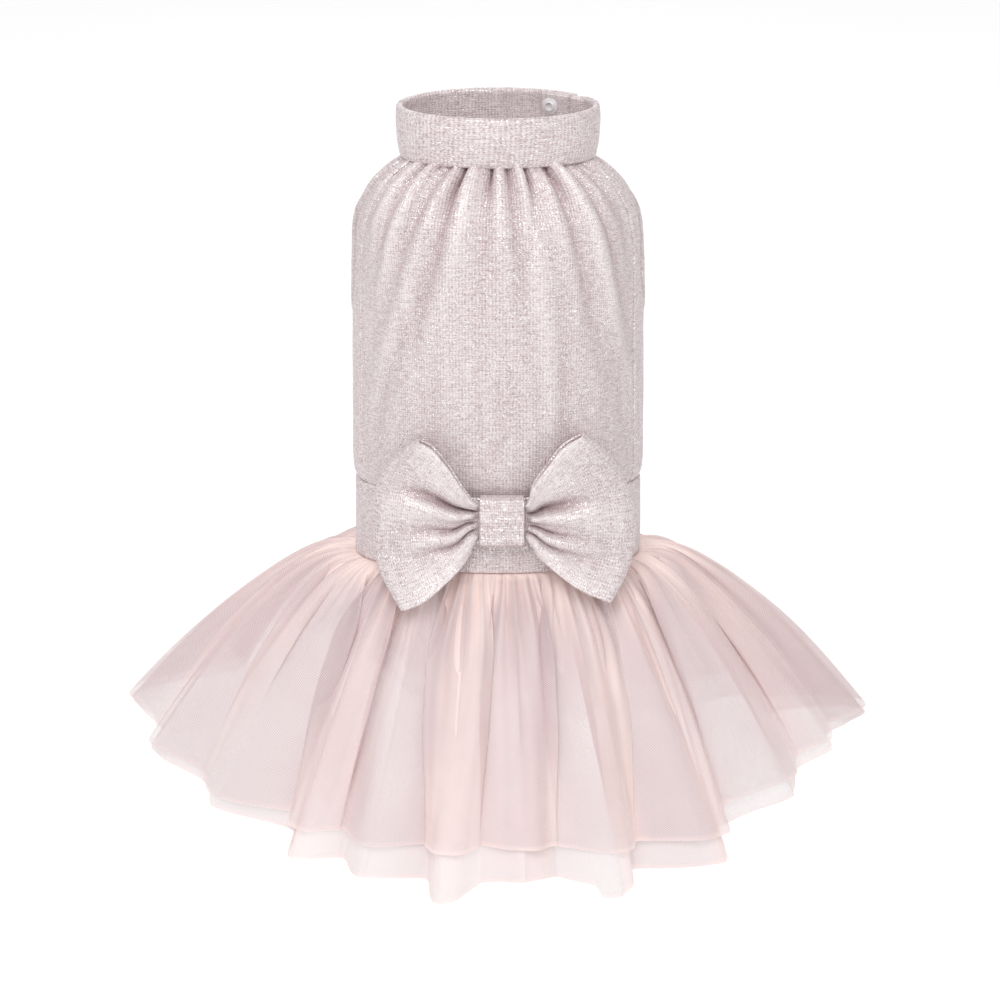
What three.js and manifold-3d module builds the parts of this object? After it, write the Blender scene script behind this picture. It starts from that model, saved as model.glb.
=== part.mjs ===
// Dog dress: a sleeveless bodice of glitter knit with a stand-up collar, a waistband with a flat bow, and a
// gathered two-layer tulle skirt. The dress keeps the hollow form it has when worn, standing upright.
// Units are millimetres, +Z is up, -Y is the side with the bow, and the origin is the centre of the neck seam.
import * as THREE from 'three';
import Module from 'manifold-3d';
import { mergeVertices } from 'three/addons/utils/BufferGeometryUtils.js';

const wasm = await Module();
wasm.setup();

// Driving dimensions
const seam = 0.4; // parting left between neighbouring pieces
const depthRatio = 0.65; // the body's depth over its width
const collar = {
  height: 27.8, wall: 3.8, baseHalf: 51.3, topHalf: 53.2, bulge: 0.5, flare: 0.3, rimShare: 0.62,
  columns: 44, rows: 4,
};
const bodice = {
  top: -0.9, bottom: -184, wall: 1.6, widest: 78.9, sideSeam: 68, frontColumns: 30, backColumns: 18, rows: 12,
};
const band = { top: -184.4, bottom: -223.5, wall: 2.4, topHalf: 76.9, bottomHalf: 76.6, columns: 48, rows: 1 };
const placket = {
  outerEdge: 44, innerEdge: 26, turnStart: 14, turnEnd: 5, // the turns are degrees before the outer ply's edge
  collarOuterEdge: 42.9, collarInnerEdge: 24.8, collarTurnStart: 26, collarTurnEnd: 6,
};
const legHole = { angle: 112, centre: -58.4, halfWidth: 22, halfHeight: 31, cutterLength: 60, cutterSides: 26 };
const snap = {
  radius: 4.8, height: 1.6, rim: 0.5, shoulder: 0.8, flat: 0.4, sides: 12, ringGap: 0.7,
  across: 35, heights: [-44, -83, -122, -160],
};
const collarSnap = { across: 31, height: 20.5 };
const skirt = {
  top: -224.7, wall: 1.1, rows: 6, columnsPerGather: 4, gather: 1.5, gatherEnd: 0.42, layerGap: 1.9,
  spread: 2.2, longerOver: 170, waveGrowth: 1.15, frontConvex: 1.22, backConvex: 1.68, rise: 3.5,
};

// Half-width of the bodice's middle surface at each height: the shoulders round out from the neck
const bodySections = [
  { z: 0, half: 49.4 },
  { z: -3, half: 51.6 },
  { z: -5.5, half: 56 },
  { z: -9, half: 60.8 },
  { z: -13, half: 65.2 },
  { z: -17.5, half: 69 },
  { z: -23, half: 72.2 },
  { z: -28, half: 74.7 },
  { z: -33, half: 76.7 },
  { z: -46, half: 78.5 },
  { z: -60, half: 78.9 },
  { z: -170, half: 78.7 },
  { z: -178, half: 78.2 },
  { z: -184, half: 76.6 },
];

// Gathers that run down from the neck seam: where each starts and ends (degrees from the front), how low it
// reaches, how deep it is (a ridge is negative) and how wide
const neckGathers = [
  { from: -62, to: -60, end: -60, depth: 1.5, width: 5 },
  { from: -47, to: -52, end: -75, depth: 1.8, width: 5 },
  { from: -35, to: -43, end: -60, depth: 2.1, width: 4.5 },
  { from: -27, to: -40, end: -118, depth: -1.5, width: 7 },
  { from: -19, to: -26, end: -85, depth: 2.6, width: 4 },
  { from: -12, to: -17, end: -85, depth: -1.3, width: 5 },
  { from: -4, to: -8, end: -80, depth: 2.2, width: 4 },
  { from: 6, to: 11, end: -85, depth: 2.0, width: 4 },
  { from: 12, to: 19, end: -80, depth: -1.3, width: 5 },
  { from: 17, to: 12, end: -48, depth: 2.4, width: 4 },
  { from: 29, to: 28, end: -108, depth: 2.6, width: 4 },
  { from: 43, to: 56, end: -112, depth: 2.4, width: 4.5 },
  { from: 58, to: 63, end: -70, depth: 1.6, width: 5 },
  { from: 84, to: 84, end: -60, depth: 1.5, width: 5 },
  { from: 177, to: 177, end: -80, depth: 1.8, width: 4.5 },
  { from: 189, to: 188, end: -65, depth: 2.0, width: 5 },
  { from: 202, to: 199, end: -85, depth: 1.8, width: 5 },
  { from: 216, to: 213, end: -60, depth: 1.8, width: 5 },
  { from: 276, to: 276, end: -60, depth: 1.5, width: 5 },
];

// Long soft creases lower on the bodice: angle at the top and bottom, the heights it spans, depth and width
const bodyCreases = [
  { from: -29, to: -27, top: -100, bottom: -165, depth: 0.9, width: 6 },
  { from: 29, to: 30, top: -90, bottom: -165, depth: 1.1, width: 6 },
  { from: 8, to: 3, top: -110, bottom: -160, depth: 0.6, width: 7 },
  { from: -52, to: -56, top: -90, bottom: -160, depth: 0.8, width: 6 },
  { from: 57, to: 60, top: -100, bottom: -165, depth: 0.7, width: 6 },
  { from: 190, to: 188, top: -100, bottom: -160, depth: 0.9, width: 7 },
  { from: 222, to: 226, top: -95, bottom: -160, depth: 0.8, width: 7 },
];

// The big waves of the tulle: angle of each crest from the front, how far out and how far down its hem hangs,
// how deep the fold behind it dips, how far its flanks tuck in, how much longer the inner layer is there, and
// how many of the waist's gathers run into it
const waves = [
  { crest: 6, reach: 144, drop: 128, dip: 15, tuck: 2.0, longer: 17, gathers: 2 },
  { crest: 26, reach: 149, drop: 132, dip: 21, tuck: 3.4, longer: 21, gathers: 3 },
  { crest: 51, reach: 157, drop: 134, dip: 20, tuck: 3.0, longer: 13, gathers: 3 },
  { crest: 74, reach: 169, drop: 119, dip: 13, tuck: 2.4, longer: 9, gathers: 2 },
  { crest: 89, reach: 186, drop: 115, dip: 15, tuck: 2.4, longer: 6, gathers: 2 },
  { crest: 105, reach: 214, drop: 105, dip: 36, tuck: 3.4, longer: 4, gathers: 3 },
  { crest: 133, reach: 190, drop: 113, dip: 22, tuck: 2.6, longer: 13, gathers: 2 },
  { crest: 153, reach: 172, drop: 115, dip: 18, tuck: 2.4, longer: 15, gathers: 2 },
  { crest: 171, reach: 164, drop: 116, dip: 17, tuck: 2.4, longer: 15, gathers: 2 },
  { crest: 189, reach: 168, drop: 113, dip: 18, tuck: 2.4, longer: 15, gathers: 2 },
  { crest: 206, reach: 182, drop: 103, dip: 20, tuck: 2.6, longer: 12, gathers: 2 },
  { crest: 224, reach: 210, drop: 76, dip: 44, tuck: 3.6, longer: 8, gathers: 4 },
  { crest: 255, reach: 214, drop: 97, dip: 22, tuck: 2.8, longer: 4, gathers: 2 },
  { crest: 272, reach: 193, drop: 112, dip: 19, tuck: 2.6, longer: 5, gathers: 2 },
  { crest: 294, reach: 171, drop: 117, dip: 20, tuck: 3.4, longer: 6, gathers: 2 },
  { crest: 314, reach: 152, drop: 128, dip: 17, tuck: 3.0, longer: 15, gathers: 2 },
  { crest: 331, reach: 147, drop: 130, dip: 16, tuck: 2.6, longer: 19, gathers: 2 },
  { crest: 349, reach: 145, drop: 131, dip: 14, tuck: 2.2, longer: 21, gathers: 2 },
];

// The bow: x runs out from the knot's middle and z up from it. Each loop has a front and a back ply of double
// cloth, joined by the fold at its end, and both are pinched inside the knot.
const bow = {
  x: 2.2, z: -192, wall: 1.8, pinchedGap: 1.7, fullGap: 6.2, endGap: 3.4, frontColumns: 8, endColumns: 2,
  backColumns: 4, rows: 8, inKnot: 0.2, standOff: 21, farX: 78, leanBelow: -22, lean: 0.85, clear: 1.3,
  pinchEnd: 0.16, fullFrom: 0.6, edgeShare: 0.6, foldFrom: 0.3, foldFade: 0.35, backShare: 0.35,
};
const knot = {
  half: 12.2, wall: 1.9, back: -51.65, innerHalfHeight: 11.8, innerHalfDepth: 4.2, squareness: 0.4,
  columns: 28, rows: 1,
};
const loops = [
  {
    name: 'bow_loop_right', side: 1,
    top: [
      { x: 1, z: 9.4 }, { x: 13.2, z: 9.9 }, { x: 17, z: 20 }, { x: 24.5, z: 31 }, { x: 33, z: 41.5 },
      { x: 43, z: 47 },
    ],
    end: [
      { x: 43, z: 47 }, { x: 59, z: 31 }, { x: 69.5, z: 9.5 }, { x: 72.8, z: -12 }, { x: 69, z: -30 },
      { x: 58, z: -43 },
    ],
    bottom: [
      { x: 1, z: -9.4 }, { x: 13.2, z: -9.9 }, { x: 20, z: -19.5 }, { x: 31, z: -28.5 }, { x: 43, z: -36.5 },
      { x: 58, z: -43 },
    ],
  },
  {
    name: 'bow_loop_left', side: -1,
    top: [
      { x: 1, z: 9.4 }, { x: 13.2, z: 9.9 }, { x: 20.5, z: 17 }, { x: 29, z: 30 }, { x: 37.5, z: 40 },
      { x: 44.8, z: 43.5 },
    ],
    end: [
      { x: 44.8, z: 43.5 }, { x: 60.5, z: 30 }, { x: 70.5, z: 12 }, { x: 72.5, z: -8 }, { x: 69.5, z: -29 },
      { x: 53.5, z: -46.5 },
    ],
    bottom: [
      { x: 1, z: -9.4 }, { x: 13.2, z: -10 }, { x: 20, z: -22.5 }, { x: 30.5, z: -32.5 }, { x: 42, z: -41.5 },
      { x: 53.5, z: -46.5 },
    ],
  },
];
// Folds that fan out over each loop from the knot: place across the loop (0 top, 1 bottom) at the knot and at
// the end, height (a crevice is negative), width, and how far out it carries
const bowFolds = [
  { from: 0.08, to: 0.05, height: 1.6, width: 0.07, carry: 1.1 },
  { from: 0.3, to: 0.2, height: -2.6, width: 0.08, carry: 0.55 },
  { from: 0.48, to: 0.42, height: 1.8, width: 0.13, carry: 0.9 },
  { from: 0.68, to: 0.66, height: -2.2, width: 0.09, carry: 0.75 },
  { from: 0.88, to: 0.86, height: 1.4, width: 0.1, carry: 0.9 },
];

const knit = new THREE.MeshStandardMaterial({ color: 0xe0d3d4, roughness: 0.55, metalness: 0.25 });
const tulle = new THREE.MeshStandardMaterial({
  color: 0xefd9d8, roughness: 0.8, metalness: 0, side: THREE.DoubleSide,
});
const clear = new THREE.MeshStandardMaterial({ color: 0xe4e0e1, roughness: 0.3, metalness: 0 });

const dress = new THREE.Group();

const radians = THREE.MathUtils.degToRad;
const lerp = THREE.MathUtils.lerp;
const smooth = (from, to, value) => THREE.MathUtils.smoothstep(value, from, to);
const bump = (offset, width) => Math.exp(-0.5 * (offset / width) ** 2);

function addPiece(name, geometry, material) {
  const piece = new THREE.Mesh(geometry, material);
  piece.name = name;
  dress.add(piece);
  return piece;
}

// Smooth curve through the rows of a table, read at one column's value
function readTable(rows, key, at, value) {
  const last = rows.length - 1;
  const rising = rows[last][key] > rows[0][key];
  let i = 0;
  while (i < last - 1 && (rising ? at > rows[i + 1][key] : at < rows[i + 1][key])) i += 1;
  const t = THREE.MathUtils.clamp((at - rows[i][key]) / (rows[i + 1][key] - rows[i][key]), 0, 1);
  const slope = (a, b, c) => {
    const left = (rows[b][value] - rows[a][value]) / (rows[b][key] - rows[a][key] || 1);
    const right = (rows[c][value] - rows[b][value]) / (rows[c][key] - rows[b][key] || 1);
    return left * right > 0 ? (2 * left * right) / (left + right) : 0;
  };
  const step = rows[i + 1][key] - rows[i][key];
  const startSlope = i > 0 ? slope(i - 1, i, i + 1) : (rows[1][value] - rows[0][value]) / step;
  const endSlope = i + 2 <= last ? slope(i, i + 1, i + 2) : (rows[last][value] - rows[last - 1][value]) / step;
  const t2 = t * t;
  const t3 = t2 * t;
  return (2 * t3 - 3 * t2 + 1) * rows[i][value] + (t3 - 2 * t2 + t) * step * startSlope
    + (3 * t2 - 2 * t3) * rows[i + 1][value] + (t3 - t2) * step * endSlope;
}

// A cloth wall: middle(u, v) gives its middle surface, and the wall is half its thickness to each side of it.
// A closed wall joins its last column to its first; an open one has a rim on each side.
function clothWall({ columns, rows, closed, wall, middle }) {
  const step = 1e-4;
  const count = closed ? columns : columns + 1;
  const points = [];
  const face = [];
  for (const side of [0.5, -0.5]) {
    for (let j = 0; j <= rows; j += 1) {
      for (let i = 0; i < count; i += 1) {
        const u = i / columns;
        const v = j / rows;
        const alongU = middle(u + step, v).sub(middle(u - step, v));
        const alongV = middle(u, v + step).sub(middle(u, v - step));
        const normal = alongV.cross(alongU).normalize();
        const thickness = typeof wall === 'function' ? wall(u, v) : wall;
        points.push(...middle(u, v).addScaledVector(normal, side * thickness).toArray());
      }
    }
  }
  const back = count * (rows + 1);
  const at = (i, j, side) => side * back + j * count + (i % count);
  const quad = (a, b, c, d) => face.push(a, b, c, a, c, d);
  for (let j = 0; j < rows; j += 1) {
    for (let i = 0; i < columns; i += 1) {
      quad(at(i, j, 0), at(i, j + 1, 0), at(i + 1, j + 1, 0), at(i + 1, j, 0));
      quad(at(i, j, 1), at(i + 1, j, 1), at(i + 1, j + 1, 1), at(i, j + 1, 1));
    }
  }
  for (let i = 0; i < columns; i += 1) {
    quad(at(i, 0, 0), at(i + 1, 0, 0), at(i + 1, 0, 1), at(i, 0, 1));
    quad(at(i, rows, 0), at(i, rows, 1), at(i + 1, rows, 1), at(i + 1, rows, 0));
  }
  if (!closed) {
    for (let j = 0; j < rows; j += 1) {
      quad(at(0, j, 0), at(0, j, 1), at(0, j + 1, 1), at(0, j + 1, 0));
      quad(at(columns, j, 0), at(columns, j + 1, 0), at(columns, j + 1, 1), at(columns, j, 1));
    }
  }
  const geometry = new THREE.BufferGeometry();
  geometry.setAttribute('position', new THREE.Float32BufferAttribute(points, 3));
  geometry.setIndex(face);
  return geometry;
}

// A point on the level ellipse of a given half-width, at an angle from the front, moved out by an offset
function onBody(half, degrees, z, out = 0) {
  const angle = radians(degrees);
  const x = Math.sin(angle);
  const y = -Math.cos(angle);
  const normal = new THREE.Vector2(x * depthRatio, y).normalize();
  return new THREE.Vector3(half * x + normal.x * out, half * depthRatio * y + normal.y * out, z);
}

// The angle on the back right where the body lies a given distance from its middle plane
const backAngle = (half, across) => 180 - THREE.MathUtils.radToDeg(Math.asin(across / half));

// Collar: a band that runs once round from its outer end and on inside itself to its inner end
const collarPly = collar.wall + seam;

function collarHalf(v) {
  const flare = 1 - v * Math.abs(v) ** collar.flare;
  return lerp(collar.baseHalf, collar.topHalf, flare) + collar.bulge * Math.sin(Math.PI * v);
}

function collarMiddle(u, v) {
  const z = collar.height * (1 - v) + seam / 2;
  const half = collarHalf(v);
  const outerEnd = backAngle(half, placket.collarOuterEdge);
  const innerEnd = backAngle(half, placket.collarInnerEdge) + 360;
  const angle = lerp(outerEnd, innerEnd, u);
  const once = outerEnd + 360;
  const inward = smooth(once - placket.collarTurnStart, once - placket.collarTurnEnd, angle);
  return onBody(half, angle, z, -collarPly * inward);
}

function makeCollar() {
  const { columns, rows, rimShare } = collar;
  const wall = (u, v) => {
    const fullness = Math.sin(Math.PI * THREE.MathUtils.clamp(v, 0, 1)) ** 0.5;
    return collar.wall * lerp(rimShare, 1, fullness);
  };
  addPiece('collar', clothWall({ columns, rows, closed: false, wall, middle: collarMiddle }), knit);
}

// Bodice: how far the cloth stands out from the plain body at an angle and height
function bodiceRelief(degrees, z) {
  const at = ((degrees % 360) + 360) % 360;
  let out = 0;
  for (const fold of neckGathers) {
    const along = z / fold.end;
    if (along > 1) continue;
    const centre = lerp(fold.from, fold.to, Math.sqrt(Math.max(along, 0)));
    const aside = ((at - centre + 540) % 360) - 180;
    const fade = smooth(0, 0.06, along) * (1 - along) ** 0.8;
    out -= fold.depth * fade * bump(aside, fold.width * (0.8 + 0.5 * along));
  }
  for (const fold of bodyCreases) {
    const along = (z - fold.top) / (fold.bottom - fold.top);
    if (along < 0 || along > 1) continue;
    const aside = ((at - lerp(fold.from, fold.to, along) + 540) % 360) - 180;
    out -= fold.depth * Math.sin(Math.PI * along) * bump(aside, fold.width);
  }
  return out;
}

// A point of the bodice, moved out from the plain body square to its surface
function bodyPoint(degrees, z, out) {
  const step = 0.01;
  const at = (angle, height) => onBody(readTable(bodySections, 'z', height, 'half'), angle, height);
  const across = at(degrees + step, z).sub(at(degrees - step, z));
  const up = at(degrees, z + step).sub(at(degrees, z - step));
  return at(degrees, z).addScaledVector(across.cross(up).normalize(), out);
}

// Rows lie closer together over the shoulders than down the straight body
const bodiceHeight = (v) => lerp(bodice.top, bodice.bottom, v * (0.55 + 0.45 * Math.abs(v) ** 1.2));

// The placket's outer ply lies outside the inner one by a wall and a parting
const bodicePly = bodice.wall + seam + 0.5;

function bodiceSurface(startAt, endAt, inwardAt) {
  return (u, v) => {
    const z = bodiceHeight(v);
    const half = readTable(bodySections, 'z', z, 'half');
    const angle = lerp(startAt(half), endAt(half), u);
    return bodyPoint(angle, z, bodiceRelief(angle, z) - bodicePly * inwardAt(half, angle));
  };
}

// Half of the parting at a side seam, as an angle; the body is rounder there, over this share of its half-width
const sideRoundness = 0.72;
const seamAngle = (half) => THREE.MathUtils.radToDeg(seam / 2 / (half * sideRoundness));

function legHoleCutter(side) {
  const cutter = new THREE.CylinderGeometry(1, 1, legHole.cutterLength, legHole.cutterSides);
  cutter.scale(legHole.halfWidth, 1, legHole.halfHeight);
  const centre = onBody(bodice.widest, side * legHole.angle, legHole.centre);
  const out = new THREE.Vector3(centre.x * depthRatio, centre.y / depthRatio, 0).normalize();
  const along = new THREE.Vector3(0, 0, 1);
  const across = new THREE.Vector3().crossVectors(out, along);
  cutter.applyMatrix4(new THREE.Matrix4().makeBasis(across, out, along).setPosition(centre));
  return cutter;
}

function toManifold(geometry) {
  const plain = geometry.clone();
  plain.deleteAttribute('normal');
  plain.deleteAttribute('uv');
  const merged = mergeVertices(plain, 1e-5);
  const vertProperties = new Float32Array(merged.attributes.position.array);
  const triVerts = new Uint32Array(merged.index.array);
  return new wasm.Manifold(new wasm.Mesh({ numProp: 3, vertProperties, triVerts }));
}

function cut(geometry, cutter) {
  const mesh = toManifold(geometry).subtract(toManifold(cutter)).getMesh();
  const result = new THREE.BufferGeometry();
  result.setAttribute('position', new THREE.BufferAttribute(new Float32Array(mesh.vertProperties), 3));
  result.setIndex(new THREE.BufferAttribute(new Uint32Array(mesh.triVerts), 1));
  return result;
}

function makeBodice() {
  const { sideSeam, rows, wall, frontColumns, backColumns } = bodice;
  const never = () => 0;
  const rightSeam = (half) => sideSeam + seamAngle(half);
  const leftSeam = (half) => 360 - sideSeam - seamAngle(half);
  const outerEnd = (half) => backAngle(half, placket.outerEdge);
  const innerEnd = (half) => backAngle(half, placket.innerEdge);
  const tuckIn = (half, angle) => {
    const edge = outerEnd(half);
    return smooth(edge - placket.turnStart, edge - placket.turnEnd, angle);
  };

  const frontLeft = (half) => seamAngle(half) - sideSeam;
  const frontRight = (half) => sideSeam - seamAngle(half);
  const front = bodiceSurface(frontLeft, frontRight, never);
  const frontWall = clothWall({ columns: frontColumns, rows, closed: false, wall, middle: front });
  addPiece('bodice_front', frontWall, knit);

  const left = bodiceSurface(outerEnd, leftSeam, never);
  const leftWall = clothWall({ columns: backColumns + 2, rows, closed: false, wall, middle: left });
  addPiece('bodice_back_left', cut(leftWall, legHoleCutter(-1)), knit);

  const right = bodiceSurface(rightSeam, innerEnd, tuckIn);
  const rightWall = clothWall({ columns: backColumns, rows, closed: false, wall, middle: right });
  addPiece('bodice_back_right', cut(rightWall, legHoleCutter(1)), knit);
}

// Waistband: a plain flat ring
function makeWaistband() {
  const { columns, rows, wall } = band;
  const middle = (u, v) => {
    const half = lerp(band.topHalf, band.bottomHalf, v) + 0.5 * Math.sin(Math.PI * v);
    return onBody(half, 360 * u, lerp(band.top, band.bottom, v));
  };
  addPiece('waistband', clothWall({ columns, rows, closed: true, wall, middle }), knit);
}

// Skirt: the column's place among the waves, from crest to crest
const gatherCount = waves.reduce((sum, wave) => sum + wave.gathers, 0);

function findWave(u) {
  let at = ((u % 1) + 1) % 1 * gatherCount;
  let i = 0;
  while (at >= waves[i].gathers) {
    at -= waves[i].gathers;
    i = (i + 1) % waves.length;
  }
  return { wave: waves[i], next: waves[(i + 1) % waves.length], t: at / waves[i].gathers };
}

// A point of the skirt's outer surface at a place round it, and down it from 0 at the waist to 1 at the hem. The
// inner layer runs on past 1.
function skirtPoint(u, down) {
  const { wave, next, t } = findWave(u);
  const turn = next.crest > wave.crest ? 0 : 360;
  const ease = t * t * (3 - 2 * t);
  const angle = lerp(wave.crest, next.crest + turn, t);
  const grow = Math.max(down, 0) ** skirt.waveGrowth;
  const reach = lerp(wave.reach, next.reach, ease) - wave.dip * 0.5 * (1 - Math.cos(2 * Math.PI * t));
  const drop = lerp(wave.drop, next.drop, ease);
  const sideways = wave.tuck * Math.sin(4 * Math.PI * t) * grow;

  const waist = onBody(band.bottomHalf, angle, 0);
  const hem = new THREE.Vector3(Math.sin(radians(angle)) * reach, -Math.cos(radians(angle)) * reach, 0);
  const outward = hem.clone().normalize();
  const point = waist.clone().multiplyScalar(1 - down).addScaledVector(hem, down);
  // between waist and hem the waves are shallower than a straight line would make them
  const shallow = wave.dip * 0.5 * (1 - Math.cos(2 * Math.PI * t)) * (down - grow);
  const gathered = Math.max(0, 1 - down / skirt.gatherEnd) ** 1.5 * smooth(0, 0.05, down);
  const fine = skirt.gather * gathered * Math.cos(2 * Math.PI * u * gatherCount);
  point.addScaledVector(outward, shallow + fine);
  point.x += outward.y * -sideways;
  point.y += outward.x * sideways;

  const backness = 0.5 - 0.5 * Math.cos(radians(angle));
  const convex = lerp(skirt.frontConvex, skirt.backConvex, smooth(0, 0.5, backness));
  const rise = skirt.rise * smooth(0.15, 0.6, backness);
  // the lift is 1 where it is greatest, at a sixth of the way down
  const lift = (down * 6) ** 2 * (Math.max(0, 1 - down) * 1.2) ** 10;
  point.z = skirt.top + rise * lift - drop * Math.max(down, 0) ** convex;
  return point;
}

function skirtNormal(u, down) {
  const step = 1e-4;
  const alongU = skirtPoint(u + step, down).sub(skirtPoint(u - step, down));
  const alongV = skirtPoint(u, down + step).sub(skirtPoint(u, Math.max(down - step, 0)));
  return alongV.cross(alongU).normalize();
}

function makeSkirt() {
  const columns = gatherCount * skirt.columnsPerGather;
  const { rows, wall } = skirt;
  const outer = (u, v) => skirtPoint(u, v);
  addPiece('skirt_outer', clothWall({ columns, rows, closed: true, wall, middle: outer }), tulle);

  const inner = (u, v) => {
    const { wave, next, t } = findWave(u);
    const longer = lerp(wave.longer, next.longer, t * t * (3 - 2 * t));
    const down = v * (1 + longer / skirt.longerOver);
    const spread = skirt.layerGap + skirt.spread * smooth(0.1, 0.9, down);
    return skirtPoint(u, down).addScaledVector(skirtNormal(u, down), -spread);
  };
  addPiece('skirt_inner', clothWall({ columns, rows, closed: true, wall, middle: inner }), tulle);
}

// Bow: the point of a loop between its four edges, e out from the knot and v down from its top edge
function loopPoint(edges, e, v) {
  const at = THREE.MathUtils.clamp(e, 0, 1);
  const down = THREE.MathUtils.clamp(v, 0, 1);
  const top = edges.top.getPoint(at);
  const bottom = edges.bottom.getPoint(at);
  const pinched = new THREE.Vector2().lerpVectors(edges.top.getPoint(0), edges.bottom.getPoint(0), down);
  const end = edges.end.getPoint(down);
  const upper = new THREE.Vector2().lerpVectors(edges.top.getPoint(0), edges.top.getPoint(1), at);
  const lower = new THREE.Vector2().lerpVectors(edges.bottom.getPoint(0), edges.bottom.getPoint(1), at);
  const point = new THREE.Vector2().lerpVectors(top, bottom, down);
  point.add(new THREE.Vector2().lerpVectors(pinched, end, at));
  return point.sub(new THREE.Vector2().lerpVectors(upper, lower, down));
}

const knotMiddleY = knot.back - knot.wall - knot.innerHalfDepth;

// The bow's own middle plane bends back round the body, and its lower corners lean out over the skirt
function bowDepth(x, z) {
  const lean = bow.lean * Math.max(0, bow.leanBelow - z);
  const clear = bow.clear * smooth(12, 26, Math.abs(x));
  return knotMiddleY - clear + bow.standOff * (Math.abs(x) / bow.farX) ** 2.2 - lean;
}

function makeLoop({ name, side, top, end, bottom }) {
  const curve = (rows) => new THREE.SplineCurve(rows.map(({ x, z }) => new THREE.Vector2(x, z)));
  const edges = { top: curve(top), end: curve(end), bottom: curve(bottom) };
  const columns = bow.frontColumns + bow.endColumns + bow.backColumns;
  const frontEnd = bow.frontColumns / columns;
  const backStart = (bow.frontColumns + bow.endColumns) / columns;
  // the first column of a ply spans the knot, and the others share the rest
  const fromKnot = (part, count) => {
    if (part < 1 / count) return part * count * bow.inKnot;
    return lerp(bow.inKnot, 1, (part - 1 / count) / (1 - 1 / count));
  };
  const middle = (u, v) => {
    const onFront = u < frontEnd;
    const onBack = u > backStart;
    let e = 1;
    let turn = (Math.PI * (u - frontEnd)) / (backStart - frontEnd);
    if (onFront) {
      e = fromKnot(u / frontEnd, bow.frontColumns);
      turn = 0;
    }
    if (onBack) {
      e = fromKnot((1 - u) / (1 - backStart), bow.backColumns);
      turn = Math.PI;
    }
    const flat = loopPoint(edges, e, v);
    const across = Math.sin(Math.PI * THREE.MathUtils.clamp(v, 0, 1));
    const open = lerp(bow.pinchedGap, bow.fullGap, smooth(bow.pinchEnd, bow.fullFrom, e));
    const full = open * lerp(bow.edgeShare, 1, across);
    const gap = lerp(Math.max(full, bow.pinchedGap), bow.endGap, smooth(bow.fullFrom, 1, e));
    let out = gap * Math.cos(turn);
    for (const fold of bowFolds) {
      const faded = smooth(fold.carry - bow.foldFade, fold.carry, e);
      const carry = smooth(bow.pinchEnd, bow.foldFrom, e) * (1 - faded);
      const height = onFront ? fold.height : -bow.backShare * fold.height;
      if (onFront || onBack) out += height * carry * bump(v - lerp(fold.from, fold.to, e), fold.width);
    }
    const beyond = gap * Math.sin(turn) * (onFront || onBack ? 0 : 1);
    const x = flat.x + beyond;
    return new THREE.Vector3(bow.x + side * x, bowDepth(x, flat.y) - out, bow.z + flat.y);
  };
  addPiece(name, clothWall({ columns, rows: bow.rows, closed: false, wall: bow.wall, middle }), knit);
}

function makeKnot() {
  const { wall, half, innerHalfHeight, innerHalfDepth, squareness, columns, rows } = knot;
  const corner = (value) => Math.sign(value) * Math.abs(value) ** squareness;
  const middle = (u, v) => {
    const angle = 2 * Math.PI * u;
    const y = knotMiddleY - (innerHalfDepth + wall / 2) * corner(Math.cos(angle));
    const z = bow.z + (innerHalfHeight + wall / 2) * corner(Math.sin(angle));
    return new THREE.Vector3(bow.x + lerp(-half, half, v), y, z);
  };
  addPiece('bow_knot', clothWall({ columns, rows, closed: true, wall, middle }), knit);
}

// Snaps: a low round cap on the outside of the outer ply and its ring on the inside of the inner ply
function addSnap(name, pointAt, outwards) {
  const { radius, height, rim, shoulder, flat, sides } = snap;
  const profile = [
    [0, 0], [radius, 0], [radius, rim], [radius * shoulder, height * shoulder], [radius * flat, height],
    [0, height],
  ];
  const cap = new THREE.LatheGeometry(profile.map(([x, y]) => new THREE.Vector2(x, y)), sides);
  const step = 0.05;
  const centre = pointAt(0, 0);
  const across = pointAt(step, 0).sub(pointAt(-step, 0));
  const up = pointAt(0, step).sub(pointAt(0, -step));
  const normal = across.cross(up).normalize().multiplyScalar(outwards);
  const piece = addPiece(name, cap, clear);
  piece.position.copy(centre);
  piece.quaternion.setFromUnitVectors(new THREE.Vector3(0, 1, 0), normal);
}

function makeSnaps() {
  snap.heights.forEach((height, i) => {
    const placketPoint = (out) => (turn, rise) => {
      const angle = backAngle(readTable(bodySections, 'z', height, 'half'), snap.across) + turn;
      return bodyPoint(angle, height + rise, bodiceRelief(angle, height + rise) + out);
    };
    addSnap(`snap_${i + 1}_cap`, placketPoint(bodice.wall / 2 + seam), 1);
    addSnap(`snap_${i + 1}_ring`, placketPoint(-bodicePly - bodice.wall / 2 - snap.ringGap), -1);
  });
  const collarPoint = (out) => (turn, rise) => {
    const v = 1 - (collarSnap.height + rise) / collar.height;
    const half = collarHalf(v);
    return onBody(half, backAngle(half, collarSnap.across) + turn, collarSnap.height + rise, out);
  };
  addSnap('snap_collar_cap', collarPoint(collar.wall / 2 + seam), 1);
  addSnap('snap_collar_ring', collarPoint(-collarPly - collar.wall / 2 - snap.ringGap), -1);
}

makeCollar();
makeBodice();
makeWaistband();
loops.forEach(makeLoop);
makeKnot();
makeSkirt();
makeSnaps();

export default dress;
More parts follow.
